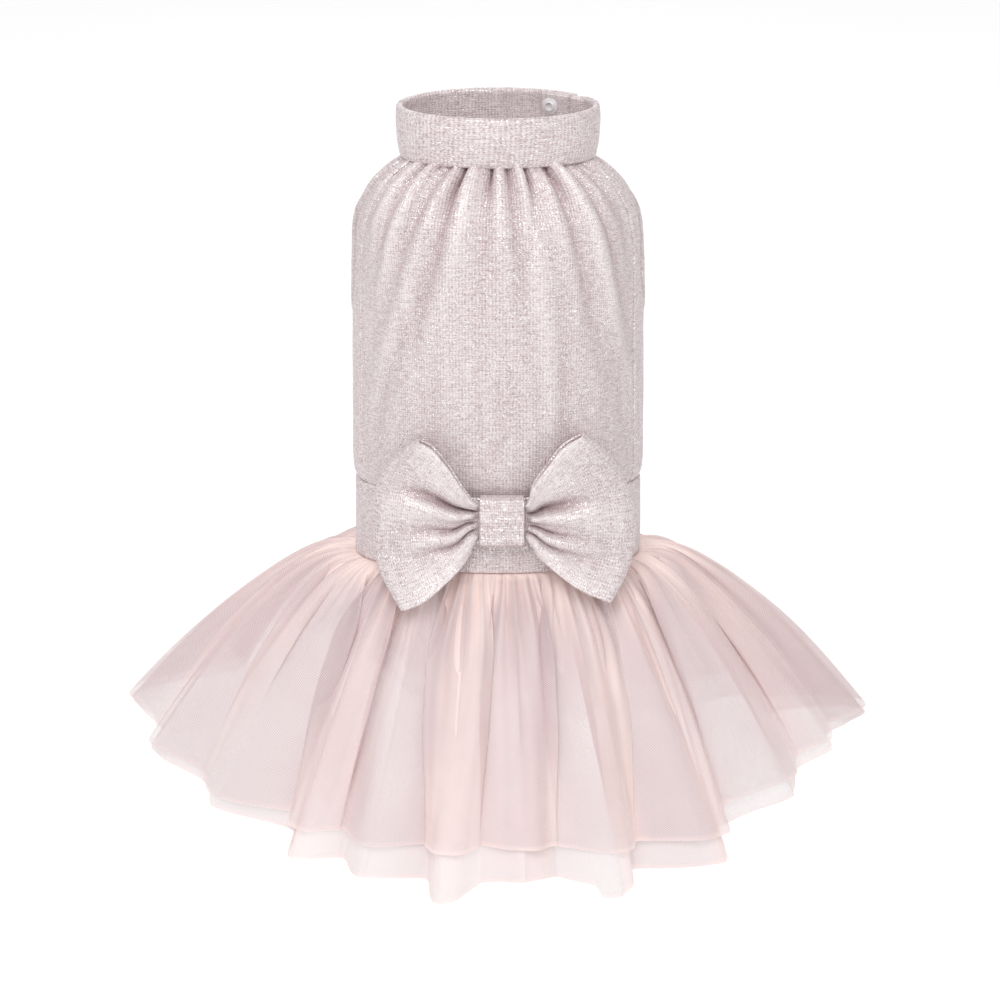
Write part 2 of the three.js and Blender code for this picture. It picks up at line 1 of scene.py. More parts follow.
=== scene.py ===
import bpy
import numpy as np
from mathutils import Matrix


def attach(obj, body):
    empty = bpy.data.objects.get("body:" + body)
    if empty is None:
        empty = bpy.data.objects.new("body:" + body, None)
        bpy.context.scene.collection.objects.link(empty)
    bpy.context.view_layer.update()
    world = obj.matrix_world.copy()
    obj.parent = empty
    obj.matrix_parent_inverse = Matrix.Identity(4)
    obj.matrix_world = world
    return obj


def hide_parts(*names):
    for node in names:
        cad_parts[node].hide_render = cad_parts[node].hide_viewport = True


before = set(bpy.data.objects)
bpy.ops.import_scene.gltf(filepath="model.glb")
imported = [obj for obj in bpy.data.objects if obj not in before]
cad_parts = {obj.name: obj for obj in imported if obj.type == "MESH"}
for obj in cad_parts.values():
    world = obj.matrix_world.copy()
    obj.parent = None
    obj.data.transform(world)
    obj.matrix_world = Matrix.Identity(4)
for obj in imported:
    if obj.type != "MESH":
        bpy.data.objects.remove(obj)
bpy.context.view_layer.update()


# Collar: one band of glitter knit folded over along its top, so its rim is round and soft. It runs once round
# the neck and on under itself, where a snap holds it, and the bodice is gathered into its lower edge.
MM = 0.001
DEPTH_RATIO = 0.65
SEAM = 0.4
COLLAR_HEIGHT = 27.8
COLLAR_RISE = 0.7
COLLAR_DIP = 3.0
COLLAR_OVERHANG = 2.4
COLLAR_WALL = 3.8
COLLAR_BASE_HALF = 51.3
COLLAR_TOP_HALF = 53.2
COLLAR_BULGE = 0.9
COLLAR_OUTER_EDGE = 42.9
COLLAR_INNER_EDGE = 24.8
COLLAR_CUT = (300, 31)
COLLAR_GRID = (260, 30)
# limits of the painted shade masks: above 0 is painted shade in creases and hollows, below 0 painted
# highlight on ridges
PAINTED_SHADE_LIMITS = (-0.3, 1)
RIM_SHARE = 0.55
MERGE_DISTANCE = 0.01


def lerp(start, end, share):
    return start + (end - start) * share


def smooth(start, end, at):
    share = np.clip((at - start) / (end - start), 0, 1)
    return share * share * (3 - 2 * share)


def bump(aside, width):
    return np.exp(-0.5 * (aside / width) ** 2)


def crowd(share, amount):
    """Moves evenly spaced places from 0 to 1 towards both ends, so that rims get narrower faces."""
    return share - amount * np.sin(2 * np.pi * share) / (2 * np.pi)


def waver(spot, size):
    """A soft unevenness from -1 to 1 over a place in space, with features of about the given size."""
    x, y, z = (spot[..., k] / size for k in range(3))
    first = np.sin(2.1 * x + 1.3 * np.sin(1.9 * z + 0.4))
    second = np.sin(2.6 * y + 1.1 * np.sin(1.7 * x + 2.0))
    third = np.sin(2.3 * z + 1.2 * np.sin(2.2 * y + 4.1))
    return (first + second + third) / 3


def round_body(half, degrees, z, out=0.0):
    """A place on the body's level ellipse of that half-width, at an angle from the front, moved out."""
    x = np.sin(np.radians(degrees))
    y = -np.cos(np.radians(degrees))
    length = np.hypot(x * DEPTH_RATIO, y)
    across = half * x + out * x * DEPTH_RATIO / length
    forward = half * DEPTH_RATIO * y + out * y / length
    return np.stack([across, forward, z + 0 * x], axis=-1)


def back_angle(half, across):
    """The angle on the back right where the body lies that far from its middle plane."""
    return 180 - np.degrees(np.arcsin(across / half))


def run_along(spots, axis=0):
    """The distance covered along an axis of places, from 0 at its start."""
    steps = np.linalg.norm(np.diff(spots, axis=axis), axis=-1)
    return np.insert(np.cumsum(steps, axis=axis), 0, 0, axis=axis)


def unit(vector):
    return vector / np.linalg.norm(vector, axis=-1, keepdims=True)


def rim_distance(table, closed):
    """How far each corner of a sheet lies from its nearest rim. A closed one has no rims at its sides."""
    down = run_along(table)
    rim = np.minimum(down, down[-1] - down)
    if not closed:
        along = run_along(table, 1)
        rim = np.minimum(rim, np.minimum(along, along[:, -1:] - along))
    return rim


def read_table(table, u, v):
    """The table's values for the corners that u and v name."""
    rows, columns = table.shape[:2]
    return table[np.rint(v * (rows - 1)).astype(int), np.rint(u * (columns - 1)).astype(int)]


def lay_cloth(name, grid, place, width=None, wall=None, rim=None, closed=False, solid=False,
              map_at=None, **masks):
    """Makes a sheet of cloth from a flat grid of columns and rows. place(u, v) gives its corners in mm, u
    from 0 to 1 along it and v from 0 to 1 down it. Its map measures the cloth, evenly along its width or by
    map_at(u, v) in mm. A wall has rounded rims: rim(u, v, table) gives the corners' distances from them where
    they aren't the sheet's own edges. closed joins the last column to the first. solid turns the faces of a
    piece that is shut all round outwards. Each mask(u, v, table) gives the corners values under its name."""
    columns, rows = grid
    bpy.ops.object.select_all(action="DESELECT")
    bpy.ops.mesh.primitive_grid_add(x_subdivisions=columns, y_subdivisions=rows, size=1)
    piece = bpy.context.object
    piece.name = name
    piece.data.name = name
    corners = np.empty(3 * len(piece.data.vertices))
    piece.data.vertices.foreach_get("co", corners)
    i = np.rint((corners[0::3] + 0.5) * columns).astype(int)
    j = np.rint((0.5 - corners[1::3]) * rows).astype(int)
    u = i / columns
    v = j / rows
    spots = place(u, v)
    table = np.empty((rows + 1, columns + 1, 3))
    table[j, i] = spots
    piece.data.vertices.foreach_set("co", (spots * MM).ravel())

    down = run_along(table).mean(axis=1)
    cloth_map = np.stack(map_at(u, v) if map_at else (u * width, -down[j]), axis=1)
    loops = np.empty(len(piece.data.loops), int)
    piece.data.loops.foreach_get("vertex_index", loops)
    piece.data.uv_layers.active.uv.foreach_set("vector", (cloth_map[loops] * MM).ravel())
    for mask, value_at in masks.items():
        attribute = piece.data.attributes.new(mask, "FLOAT", "POINT")
        attribute.data.foreach_set("value", value_at(u, v, table))
    piece.data.update()

    if wall:
        group = piece.vertex_groups.new(name="wall")
        from_rim = rim(u, v, table) if rim else rim_distance(table, closed)[j, i]
        share = np.sqrt(1 - (1 - np.clip(from_rim / (wall * RIM_SHARE), 0, 1)) ** 2)
        for index, amount in enumerate(share):
            group.add([index], float(amount), "REPLACE")
        thicken = piece.modifiers.new("wall", "SOLIDIFY")
        thicken.thickness = wall * MM
        thicken.offset = 0
        thicken.use_quality_normals = True
        thicken.vertex_group = "wall"
        bpy.ops.object.modifier_apply(modifier="wall")
        piece.vertex_groups.clear()
    if wall or closed:
        bpy.ops.object.mode_set(mode="EDIT")
        bpy.ops.mesh.select_all(action="SELECT")
        bpy.ops.mesh.remove_doubles(threshold=MERGE_DISTANCE * MM)
        if solid:
            bpy.ops.mesh.normals_make_consistent(inside=False)
        bpy.ops.object.mode_set(mode="OBJECT")
    bpy.ops.object.shade_smooth()
    return piece


def dress(piece, material, node=None):
    """Gives a piece its material and slot, puts it under the root body and hides the solid it stands for, if
    one is named.
    """
    piece.data.materials.append(material)
    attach(piece, "root")
    if node:
        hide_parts(node)


def collar_half(v):
    flare = lerp(COLLAR_BASE_HALF, COLLAR_TOP_HALF, 1 - v * np.abs(v) ** 0.3)
    return flare + COLLAR_BULGE * np.sin(np.pi * v)


def collar_level(v):
    return lerp(COLLAR_HEIGHT + SEAM / 2 + COLLAR_RISE, SEAM / 2 - COLLAR_OVERHANG, v)


def collar_turn(u, half):
    """The angle of a place along the collar, and those of its outer and inner ends."""
    outer_end = back_angle(half, COLLAR_OUTER_EDGE)
    inner_end = back_angle(half, COLLAR_INNER_EDGE) + 360
    return lerp(outer_end, inner_end, crowd(u, 0.6)), outer_end, inner_end


def collar_place(u, v):
    v = crowd(v, 0.86)
    z = collar_level(v)
    half = collar_half(v)
    angle, outer_end, _ = collar_turn(u, half)
    inward = -(COLLAR_WALL + SEAM) * smooth(outer_end + 347, outer_end + 357, angle)
    spot = round_body(half, angle, z, inward)
    out = (0.35 * waver(spot, 16) + 0.2 * waver(spot, 6)) * np.sin(np.pi * np.clip(v, 0, 1))
    spot = round_body(half, angle, z, inward + out)
    frontness = 0.5 + 0.5 * np.cos(np.radians(angle))
    spot[..., 2] += (0.3 * waver(spot, 14) - COLLAR_DIP * frontness) * (1 - v)
    return spot


def collar_crease(u, v, _):
    """Painted shade beside the inner end's edge, and where the inner ply comes out from behind the outer
    ply's end.
    """
    angle, outer_end, inner_end = collar_turn(u, collar_half(crowd(v, 0.86)))
    dark = 0.9 * bump(angle - inner_end, 0.7) + 0.9 * bump(angle - outer_end - 360, 0.6)
    return np.clip(dark, *PAINTED_SHADE_LIMITS)


def add_node(tree, kind, inputs=None, **settings):
    """Adds a shader node. inputs holds a number, colour or another node's output for each socket it names."""
    node = tree.nodes.new("ShaderNode" + kind)
    for name, value in settings.items():
        setattr(node, name, value)
    for socket, value in (inputs or {}).items():
        if isinstance(value, bpy.types.NodeSocket):
            tree.links.new(value, node.inputs[socket])
        else:
            node.inputs[socket].default_value = value
    return node


def calculate(tree, operation, *values):
    """Adds a Math node on the given numbers or outputs and returns its output."""
    node = add_node(tree, "Math", dict(enumerate(values)), operation=operation)
    return node.outputs[0]


def calculate_vector(tree, operation, vector, by):
    """Adds a Vector Math node and returns its output. by is a vector, or the number to scale by."""
    inputs = {0: vector, (3 if operation == "SCALE" else 1): by}
    return add_node(tree, "VectorMath", inputs, operation=operation).outputs[0]


def noise(tree, vector, scale, detail, output=0):
    return add_node(tree, "TexNoise", {"Vector": vector, "Scale": scale, "Detail": detail}).outputs[output]


def remap(tree, value, from_low, from_high, to_low, to_high):
    node = add_node(tree, "MapRange", {0: value, 1: from_low, 2: from_high, 3: to_low, 4: to_high})
    return node.outputs[0]


def blend_colours(tree, share, first, second):
    node = add_node(tree, "Mix", {0: share, 6: first, 7: second}, data_type="RGBA")
    return node.outputs[2]


def new_material(name):
    """A material, with its node tree and its shader."""
    material = bpy.data.materials.new(name)
    material.use_nodes = True
    return material, material.node_tree, material.node_tree.nodes["Principled BSDF"]


def new_group(name, inputs, outputs):
    """A shader node group with the named sockets, and its input and output nodes."""
    group = bpy.data.node_groups.new(name, "ShaderNodeTree")
    for socket, kind in inputs:
        group.interface.new_socket(socket, in_out="INPUT", socket_type="NodeSocket" + kind)
    for socket, kind in outputs:
        group.interface.new_socket(socket, in_out="OUTPUT", socket_type="NodeSocket" + kind)
    return group, group.nodes.new("NodeGroupInput").outputs, group.nodes.new("NodeGroupOutput").inputs


# The knit: fine upright ribs crossed by broken rows of loops, with a thin metal thread in the yarn that
# glints in some loops and leaves others dull
RIB_PITCH = 1.5
ROW_PITCH = 1.25
FLECK_SIZE = 0.5

weave, given, made = new_group(
    "glitter_knit",
    [("Cloth", "Vector"), ("Painted Shade", "Float"), ("Yarn", "Color"), ("Dark Yarn And Shade", "Color"), ("Glint", "Color")],
    [("Color", "Color"), ("Metal", "Float"), ("Rough", "Float"), ("Height", "Float")],
)
scaled = calculate_vector(weave, "SCALE", given["Cloth"], 1000.0)
drift = calculate_vector(weave, "SUBTRACT", noise(weave, scaled, 0.22, 2.0, 1), (0.5, 0.5, 0.5))
drift = calculate_vector(weave, "SCALE", drift, 1.2)
cloth = calculate_vector(weave, "ADD", scaled, drift)
axes = add_node(weave, "SeparateXYZ", {0: cloth}).outputs
rib = calculate(weave, "SINE", calculate(weave, "MULTIPLY", axes[0], 2 * np.pi / RIB_PITCH))
leg = calculate(weave, "PINGPONG", axes[0], RIB_PITCH / 2)
loop_y = calculate(weave, "MULTIPLY_ADD", leg, 0.7, axes[1])
row = calculate(weave, "SINE", calculate(weave, "MULTIPLY", loop_y, 2 * np.pi / ROW_PITCH))
streak = noise(weave, calculate_vector(weave, "MULTIPLY", cloth, (0.16, 0.9, 1.0)), 1.0, 1.0)
band = noise(weave, calculate_vector(weave, "MULTIPLY", cloth, (0.16, 0.012, 1.0)), 1.0, 2.0)
flecks = add_node(weave, "TexVoronoi", {"Vector": cloth, "Scale": 1 / FLECK_SIZE, "Randomness": 1.0})
chance = add_node(weave, "SeparateColor", {0: flecks.outputs["Color"]}).outputs
glint = remap(weave, chance[0], 0.8, 0.94, 0.0, 1.0)
dull = remap(weave, chance[1], 0.72, 0.95, 0.0, 1.0)
tone = calculate(weave, "MULTIPLY_ADD", rib, 0.14, 0.62)
tone = calculate(weave, "MULTIPLY_ADD", row, 0.15, tone)
tone = calculate(weave, "ADD", tone, remap(weave, streak, 0.3, 0.7, -0.2, 0.2))
tone = calculate(weave, "ADD", tone, remap(weave, band, 0.3, 0.7, -0.08, 0.08))
tone = calculate(weave, "SUBTRACT", tone, calculate(weave, "MULTIPLY", dull, 0.58))
# painted shade: the mask pulls the knit towards its dark colour in creases, gathers, tucks and hollows, and
# below 0 lightens it as painted highlight on ridges
tone = calculate(weave, "MULTIPLY_ADD", given["Painted Shade"], -0.75, tone)
tone = remap(weave, tone, -0.4, 1.0, -0.4, 1.0)
colour = blend_colours(weave, tone, given["Dark Yarn And Shade"], given["Yarn"])
colour = blend_colours(weave, glint, colour, given["Glint"])
height = calculate(weave, "MULTIPLY_ADD", rib, 0.5, calculate(weave, "MULTIPLY", row, 0.35))
height = calculate(weave, "MULTIPLY_ADD", chance[2], 0.8, height)
weave.links.new(colour, made["Color"])
weave.links.new(remap(weave, glint, 0.0, 1.0, 0.3, 0.85), made["Metal"])
weave.links.new(remap(weave, glint, 0.0, 1.0, 0.52, 0.24), made["Rough"])
weave.links.new(height, made["Height"])


knit, tree, shader = new_material("glitter_knit")
own_map = add_node(tree, "UVMap", uv_map="UVMap")
# the painted shade mask that each knit piece carries, read from its corners
in_crease = add_node(tree, "Attribute", attribute_name="crease")
pattern = add_node(tree, "Group", {
    "Cloth": own_map.outputs[0], "Painted Shade": in_crease.outputs["Fac"], "Yarn": (0.88, 0.80, 0.805, 1),
    "Dark Yarn And Shade": (0.47, 0.35, 0.365, 1), "Glint": (0.98, 0.95, 0.95, 1),
}, node_tree=weave).outputs
relief = add_node(tree, "Bump", {"Height": pattern["Height"], "Strength": 0.55, "Distance": 0.28 * MM})
tree.links.new(pattern["Color"], shader.inputs["Base Color"])
tree.links.new(pattern["Metal"], shader.inputs["Metallic"])
tree.links.new(pattern["Rough"], shader.inputs["Roughness"])
tree.links.new(relief.outputs["Normal"], shader.inputs["Normal"])
shader.inputs["Sheen Weight"].default_value = 0.12
shader.inputs["Sheen Roughness"].default_value = 0.4

piece = lay_cloth("collar_knit", COLLAR_GRID, collar_place, COLLAR_CUT[0], wall=COLLAR_WALL,
                  crease=collar_crease)
dress(piece, knit, "collar")


# Bodice: a front panel over the dog's back and two back panels under its belly, in the same knit. Each is
# gathered into the collar and seamed at the sides and to the waistband. Both back panels have a hemmed hole
# for a leg.
BODICE_TOP = 0.4
BODICE_BOTTOM = -181.3
BODICE_WALL = 1.6
BODY_HALF = 78.9
FRONT_GRID = (230, 140)
FRONT_CUT = (196, 198)
SIDE_SEAM = 68
PLACKET_OUTER_EDGE = 44
PLACKET_INNER_EDGE = 26
LEG_ANGLE = 112
LEG_CENTRE = -58.4
LEG_HALF_WIDTH = 22
LEG_HALF_HEIGHT = 31
LEG_HEM_SCALE = 26
LEG_RIM_SCALE = 25
GATHER_DEPTH = 1.55
TUCK_DEPTH = 1.5

body_sections = [
    (3, 49.4), (0, 49.4), (-3, 51.6), (-5.5, 56), (-9, 60.8), (-13, 65.2), (-17.5, 69), (-23, 72.2),
    (-28, 74.7), (-33, 76.7), (-46, 78.5), (-60, 78.9), (-167, 78.9), (-175, 78.5), (-181, 76.7),
    (-184, 76.4),
]
# angle at the neck, angle at its end, height of its end, depth (a ridge is negative), width in degrees
neck_gathers = [
    (-62, -67, -70, 1.5, 5), (-52, -66, -62, -1.5, 4.5), (-47, -62, -105, 2, 4.5), (-38, -67, -112, -2.3, 5),
    (-31, -56, -105, 2.2, 4.5), (-19, -37, -108, 2.8, 4), (-12, -26, -105, -1.7, 5), (-4, -8, -95, 2.2, 4),
    (6, 12, -100, 2, 4), (12, 21, -110, -1.6, 5), (17, 12, -60, 2.3, 3.5), (28, 46, -118, 2.8, 4),
    (35, 64, -122, -2.3, 4.5), (44, 67, -120, 2.5, 4.5), (56, 67, -80, 1.6, 5), (84, 84, -60, 1.5, 5),
    (177, 177, -80, 1.8, 4.5), (189, 188, -65, 2, 5), (202, 199, -85, 1.8, 5), (216, 213, -60, 1.8, 5),
    (276, 276, -60, 1.5, 5),
]
# the short sharp tucks right under the collar: angle at the neck, how far it leans, length, depth, width
neck_tucks = [
    (-63, -3, 16, 1, 1.6), (-50, -4, 20, 1.2, 1.5), (-37, -5, 26, 2.4, 1.5), (-28, -3, 12, 0.8, 1.3),
    (-20, -3, 30, 2.6, 1.4), (-11, -1, 11, 0.8, 1.2), (-3.2, -0.5, 20, 2.2, 1.2), (4.5, 2, 16, 1.3, 1.3),
    (15.5, 0, 21, 2.8, 1.3), (23, 1, 11, 0.9, 1.2), (31.5, 2, 24, 2.4, 1.5), (41, 3, 14, 1.1, 1.5),
    (51, 4, 20, 1.3, 1.5), (62, 3, 16, 1, 1.6), (77, 2, 14, 1, 1.6), (90, 0, 15, 1.2, 1.6),
    (103, -2, 13, 1, 1.6), (117, -2, 15, 1.2, 1.6), (154, -1, 15, 1, 1.6), (168, 0, 18, 1.6, 1.5),
    (181, 0, 20, 2, 1.5), (194, 1, 17, 1.7, 1.5), (207, 2, 21, 2, 1.5), (220, 2, 15, 1.2, 1.5),
    (244, 2, 14, 1, 1.6), (258, 0, 15, 1.2, 1.6), (271, -2, 14, 1.1, 1.6), (285, -2, 15, 1, 1.6),
]
# long soft creases: angle at the top and bottom, the heights between which it runs, depth, width
body_creases = [
    (-29, -27, -100, -165, 0.9, 6), (-19, -60, -28, -155, 1.3, 4), (-25, -66, -22, -160, -1.5, 4.5),
    (25, 29, -48, -178, 1.7, 3.5), (19, 24, -48, -178, -0.9, 5), (8, 3, -110, -160, 0.6, 7),
    (-52, -56, -100, -172, 0.8, 6), (50, 61, -90, -170, 1.1, 5), (190, 188, -100, -160, 0.9, 7),
    (222, 226, -95, -160, 0.8, 7),
]


def curve_through(rows):
    """A smooth curve through rows of place and value, as a function of the place."""
    at, value = np.array(sorted(rows)).T
    step = np.diff(at)
    rate = np.diff(value) / step
    slope = np.concatenate([rate[:1], np.zeros(len(rate) - 1), rate[-1:]])
    for i in range(1, len(rate)):
        if rate[i - 1] * rate[i] > 0:
            slope[i] = 2 * rate[i - 1] * rate[i] / (rate[i - 1] + rate[i])

    def read(place):
        i = np.clip(np.searchsorted(at, place) - 1, 0, len(step) - 1)
        t = np.clip((place - at[i]) / step[i], 0, 1)
        ends = value[i] * (2 * t**3 - 3 * t**2 + 1) + value[i + 1] * (3 * t**2 - 2 * t**3)
        return ends + step[i] * (slope[i] * (t**3 - 2 * t**2 + t) + slope[i + 1] * (t**3 - t**2))

    return read


body_half = curve_through(body_sections)


def turn_between(first, second):
    """The angle from second to first, the short way round."""
    return (first - second + 540) % 360 - 180


def across_hole(degrees):
    """How far a place lies from the upright middle line of a leg hole, in mm."""
    side = np.where(degrees > 180, 360 - degrees, degrees)
    centre = round_body(BODY_HALF, LEG_ANGLE, 0.0)
    spot = round_body(BODY_HALF, side, 0.0)
    out = unit(np.array([centre[0] * DEPTH_RATIO, centre[1] / DEPTH_RATIO]))
    return (spot[..., 0] - centre[0]) * -out[1] + (spot[..., 1] - centre[1]) * out[0]


def leg_hole_reach(degrees, z):
    """How far a place lies from a leg hole's middle, over the hole's own radius that way."""
    return np.hypot(across_hole(degrees) / LEG_HALF_WIDTH, (z - LEG_CENTRE) / LEG_HALF_HEIGHT)


def bodice_folds(degrees, z):
    """How far the cloth stands out from the plain body, and how far inside a gather or tuck it lies, from 0
    to 1 and below 0 on a ridge. The second is painted into the knit's colour, as painted shade inside and
    painted highlight on a ridge."""
    out = np.zeros_like(z)
    inside = np.zeros_like(z)
    for start, end, low, depth, width in neck_gathers:
        along = np.clip(z / low, 0, 1)
        aside = turn_between(degrees, lerp(start, end, along**1.2))
        fade = smooth(-0.05, 0.06, along) * (1 - along) ** 0.8
        across = width * (0.42 + 0.5 * along)
        steep = np.where(aside * start > 0, 1.5, 0.8)
        out -= GATHER_DEPTH * depth * fade * bump(aside, across * steep)
        if depth > 0:
            out += 0.45 * depth * fade * bump(aside + 2.2 * across * np.sign(start), across)
        inside += 0.20 * depth * (1 - along) ** 0.6 * bump(aside, width * (0.32 + 0.35 * along))
    for start, lean, length, depth, width in neck_tucks:
        along = np.clip(-z / length, 0, 1)
        aside = turn_between(degrees, start + lean * along)
        fade = (1 - along) ** 1.3 * smooth(-0.15, 0.12, along)
        out -= TUCK_DEPTH * depth * fade * bump(aside, width * (0.6 + 0.9 * along))
        out += 0.35 * depth * fade * bump(np.abs(aside) - 3.4 * width, width * 1.3)
        inside += 0.42 * depth * (1 - along) ** 1.1 * bump(aside, width * (0.7 + 0.6 * along))
    for start, end, top, bottom, depth, width in body_creases:
        along = np.clip((z - top) / (bottom - top), 0, 1)
        aside = turn_between(degrees, lerp(start, end, along))
        out -= depth * np.sin(np.pi * along) * bump(aside, width)
        inside += 0.16 * depth * np.sin(np.pi * along) * bump(aside, 0.6 * width)
    for seam_at in (SIDE_SEAM, -SIDE_SEAM):
        aside = turn_between(degrees, seam_at)
        held = smooth(-18, -40, z) * smooth(-181, -169, z)
        out += (0.75 + 0.12 * np.sin(z / 2.3)) * held * bump(aside, 2.2)
        out -= 0.5 * bump(aside, 0.5)
    return out, inside


def body_spot(degrees, z, out):
    """A place moved out square to the plain body's surface."""
    step = 0.02

    def plain(turn, rise):
        return round_body(body_half(z + rise), degrees + turn, z + rise)

    across = plain(step, 0) - plain(-step, 0)
    up = plain(0, step) - plain(0, -step)
    return plain(0, 0) + unit(np.cross(across, up)) * np.asarray(out)[..., None]


def bodice_spot(degrees, z, inward=0.0):
    plain = round_body(body_half(z), degrees, z)
    soft = smooth(-6, -40, z) * smooth(-181, -165, z)
    uneven = soft * (0.45 * waver(plain, 30) + 0.22 * waver(plain, 11))
    return body_spot(degrees, z, bodice_folds(degrees, z)[0] + uneven - inward)


def half_gap(half):
    """Half of the parting at a side seam, as an angle."""
    return np.degrees(SEAM / 4 / (half * 0.72))


def bodice_height(v):
    return lerp(BODICE_TOP, BODICE_BOTTOM, crowd(v, 0.45))


def front_angle(u, z):
    gap = half_gap(body_half(z))
    return lerp(gap - SIDE_SEAM, SIDE_SEAM - gap, crowd(u, 0.3))


def front_place(u, v):
    z = bodice_height(v)
    return bodice_spot(front_angle(u, z), z)


# painted shade in the front panel's gathers, tucks and creases, and painted highlight on their ridges
def front_crease(u, v, _):
    z = bodice_height(v)
    return np.clip(bodice_folds(front_angle(u, z), z)[1], *PAINTED_SHADE_LIMITS)


piece = lay_cloth("bodice_front_knit", FRONT_GRID, front_place, FRONT_CUT[0], wall=BODICE_WALL,
                  crease=front_crease)
dress(piece, knit, "bodice_front")

# A back panel is laid in two halves that meet along an upright line through the leg hole. Over the hole's
# height the line is drawn apart to the hole's rim, and above and below it the halves are merged.
LEG_ROWS = (14, 44, 40)
SEAM_HALF_COLUMNS = 50
OPEN_HALF_COLUMNS = 60


def back_heights(v):
    """The height of each row: close together at the hole's top and bottom, where its rim runs level."""
    above, beside, below = LEG_ROWS
    row = v * sum(LEG_ROWS)
    hole_top = LEG_CENTRE + LEG_HALF_HEIGHT
    hole_bottom = LEG_CENTRE - LEG_HALF_HEIGHT
    over = lerp(BODICE_TOP, hole_top, row / above)
    level = LEG_CENTRE + LEG_HALF_HEIGHT * np.cos(np.pi * np.clip((row - above) / beside, 0, 1))
    share = np.clip((row - above - beside) / below, 0, 1)
    under = lerp(hole_bottom, BODICE_BOTTOM, lerp(share, np.sin(np.pi * share / 2), 0.35))
    return np.where(row < above, over, np.where(row <= above + beside, level, under))


side_degrees = np.linspace(0, 220, 2201)
side_lengths = run_along(round_body(BODY_HALF, side_degrees, 0.0))


def hem_at(angle, z):
    """About how far a place lies from the leg hole's rim, in mm."""
    return np.clip((leg_hole_reach(angle, z) - 1) * LEG_HEM_SCALE, 0, 40)


def half_panel(side, near, far, inward_at):
    """Half of a back panel: from the leg hole's middle line, on one side of the dress, to its far edge."""

    def find_spot(u, v):
        """The height, the body's half-width there, and the angle as on the right and as on this side."""
        z = back_heights(v)
        half = body_half(z)
        level = np.sqrt(np.clip(1 - ((z - LEG_CENTRE) / LEG_HALF_HEIGHT) ** 2, 0, 1))
        across_rate = np.degrees(LEG_HALF_WIDTH / (BODY_HALF * 0.70))
        share = crowd(u if side > 0 else 1 - u, 0.6)
        start, end = LEG_ANGLE + near * across_rate * level, far(half)
        if near < 0:
            start, end = end, start
        angle = lerp(start, end, share)
        return z, half, angle, (angle if side > 0 else 360 - angle)

    def place(u, v):
        z, half, angle, degrees = find_spot(u, v)
        hem = hem_at(angle, z)
        rolled = 0.55 * (1 - smooth(5.5, 7.5, hem)) - 0.35 * bump(hem - 6.3, 0.6)
        return bodice_spot(degrees, z, inward_at(half, angle) - rolled)

    def map_at(u, v):
        z, _, angle, _ = find_spot(u, v)
        return np.interp(angle, side_degrees, side_lengths) * side, z

    # painted shade in the gathers and creases, painted highlight on their ridges, and a line of painted shade
    # in the groove of the leg hole's rolled hem
    def crease(u, v, _):
        z, _, angle, degrees = find_spot(u, v)
        inside = bodice_folds(degrees, z)[1]
        return np.clip(inside + 0.4 * bump(hem_at(angle, z) - 6.5, 0.8), *PAINTED_SHADE_LIMITS)

    def rim(u, v, table):
        """The distance from the hole's rim beside the hole. Where the halves join there is no rim."""
        z, _, angle, _ = find_spot(u, v)
        hole = np.clip((leg_hole_reach(angle, z) - 1) * LEG_RIM_SCALE, 0, 99)
        from_join = u if side * near > 0 else 1 - u
        edge = np.where(from_join < 0.5, hole, read_table(rim_distance(table, False), u, v))
        return np.minimum(edge, read_table(rim_distance(table, True), u, v))

    return {"place": place, "map_at": map_at, "crease": crease, "rim": rim}


def add_back_panel(name, node, side, open_edge, inward_at):
    rows = sum(LEG_ROWS)
    seam_half = half_panel(side, -1, side_edge, inward_at)
    open_half = half_panel(side, 1, open_edge, inward_at)
    other = lay_cloth(name + "_open_half", (OPEN_HALF_COLUMNS, rows), wall=BODICE_WALL, **open_half)
    piece = lay_cloth(name, (SEAM_HALF_COLUMNS, rows), wall=BODICE_WALL, **seam_half)
    other.select_set(True)
    bpy.ops.object.join()
    dress(piece, knit, node)


def side_edge(half):
    return SIDE_SEAM + half_gap(half)


def outer_ply_edge(half):
    """It lies past the back's middle, so seen from the left it is more than half way round."""
    return 360 - back_angle(half, PLACKET_OUTER_EDGE)


def inner_ply_edge(half):
    return back_angle(half, PLACKET_INNER_EDGE)


def tuck_in(half, angle):
    edge = back_angle(half, PLACKET_OUTER_EDGE)
    return (BODICE_WALL + SEAM + 0.5) * smooth(edge - 14, edge - 5, angle)


def flat_in(half, angle):
    return 0 * angle


add_back_panel("bodice_right_knit", "bodice_back_right", 1, inner_ply_edge, tuck_in)
add_back_panel("bodice_left_knit", "bodice_back_left", -1, outer_ply_edge, flat_in)


# Waistband: one flat ring of the same knit, seamed to the bodice above and to the gathered tulle below. The
# seams draw its edges in a little, so it stands softly proud between them.
BAND_TOP = -181.0
BAND_BOTTOM = -223.8
BAND_WALL = 2.4
BAND_TOP_HALF = 76.9
BAND_BOTTOM_HALF = 76.6
BAND_CUT = (400, 40)
BAND_GRID = (360, 34)
BAND_PUCKERS = 61


def band_place(u, v):
    v = crowd(v, 0.8)
    angle = 360 * u + 180
    half = lerp(BAND_TOP_HALF, BAND_BOTTOM_HALF, v) + 0.5 * np.sin(np.pi * v) + 0.5 * smooth(0.75, 0.95, v)
    z = lerp(BAND_TOP, BAND_BOTTOM, v)
    spot = round_body(half, angle, z)
    pucker = 0.22 * np.sin(np.radians(angle) * BAND_PUCKERS) * (bump(v, 0.12) + bump(1 - v, 0.12))
    out = 0.4 * waver(spot, 24) * np.sin(np.pi * np.clip(v, 0, 1)) + pucker
    return round_body(half, angle, z, out)


piece = lay_cloth("waistband_knit", BAND_GRID, band_place, BAND_CUT[0], wall=BAND_WALL, closed=True)
dress(piece, knit, "waistband")


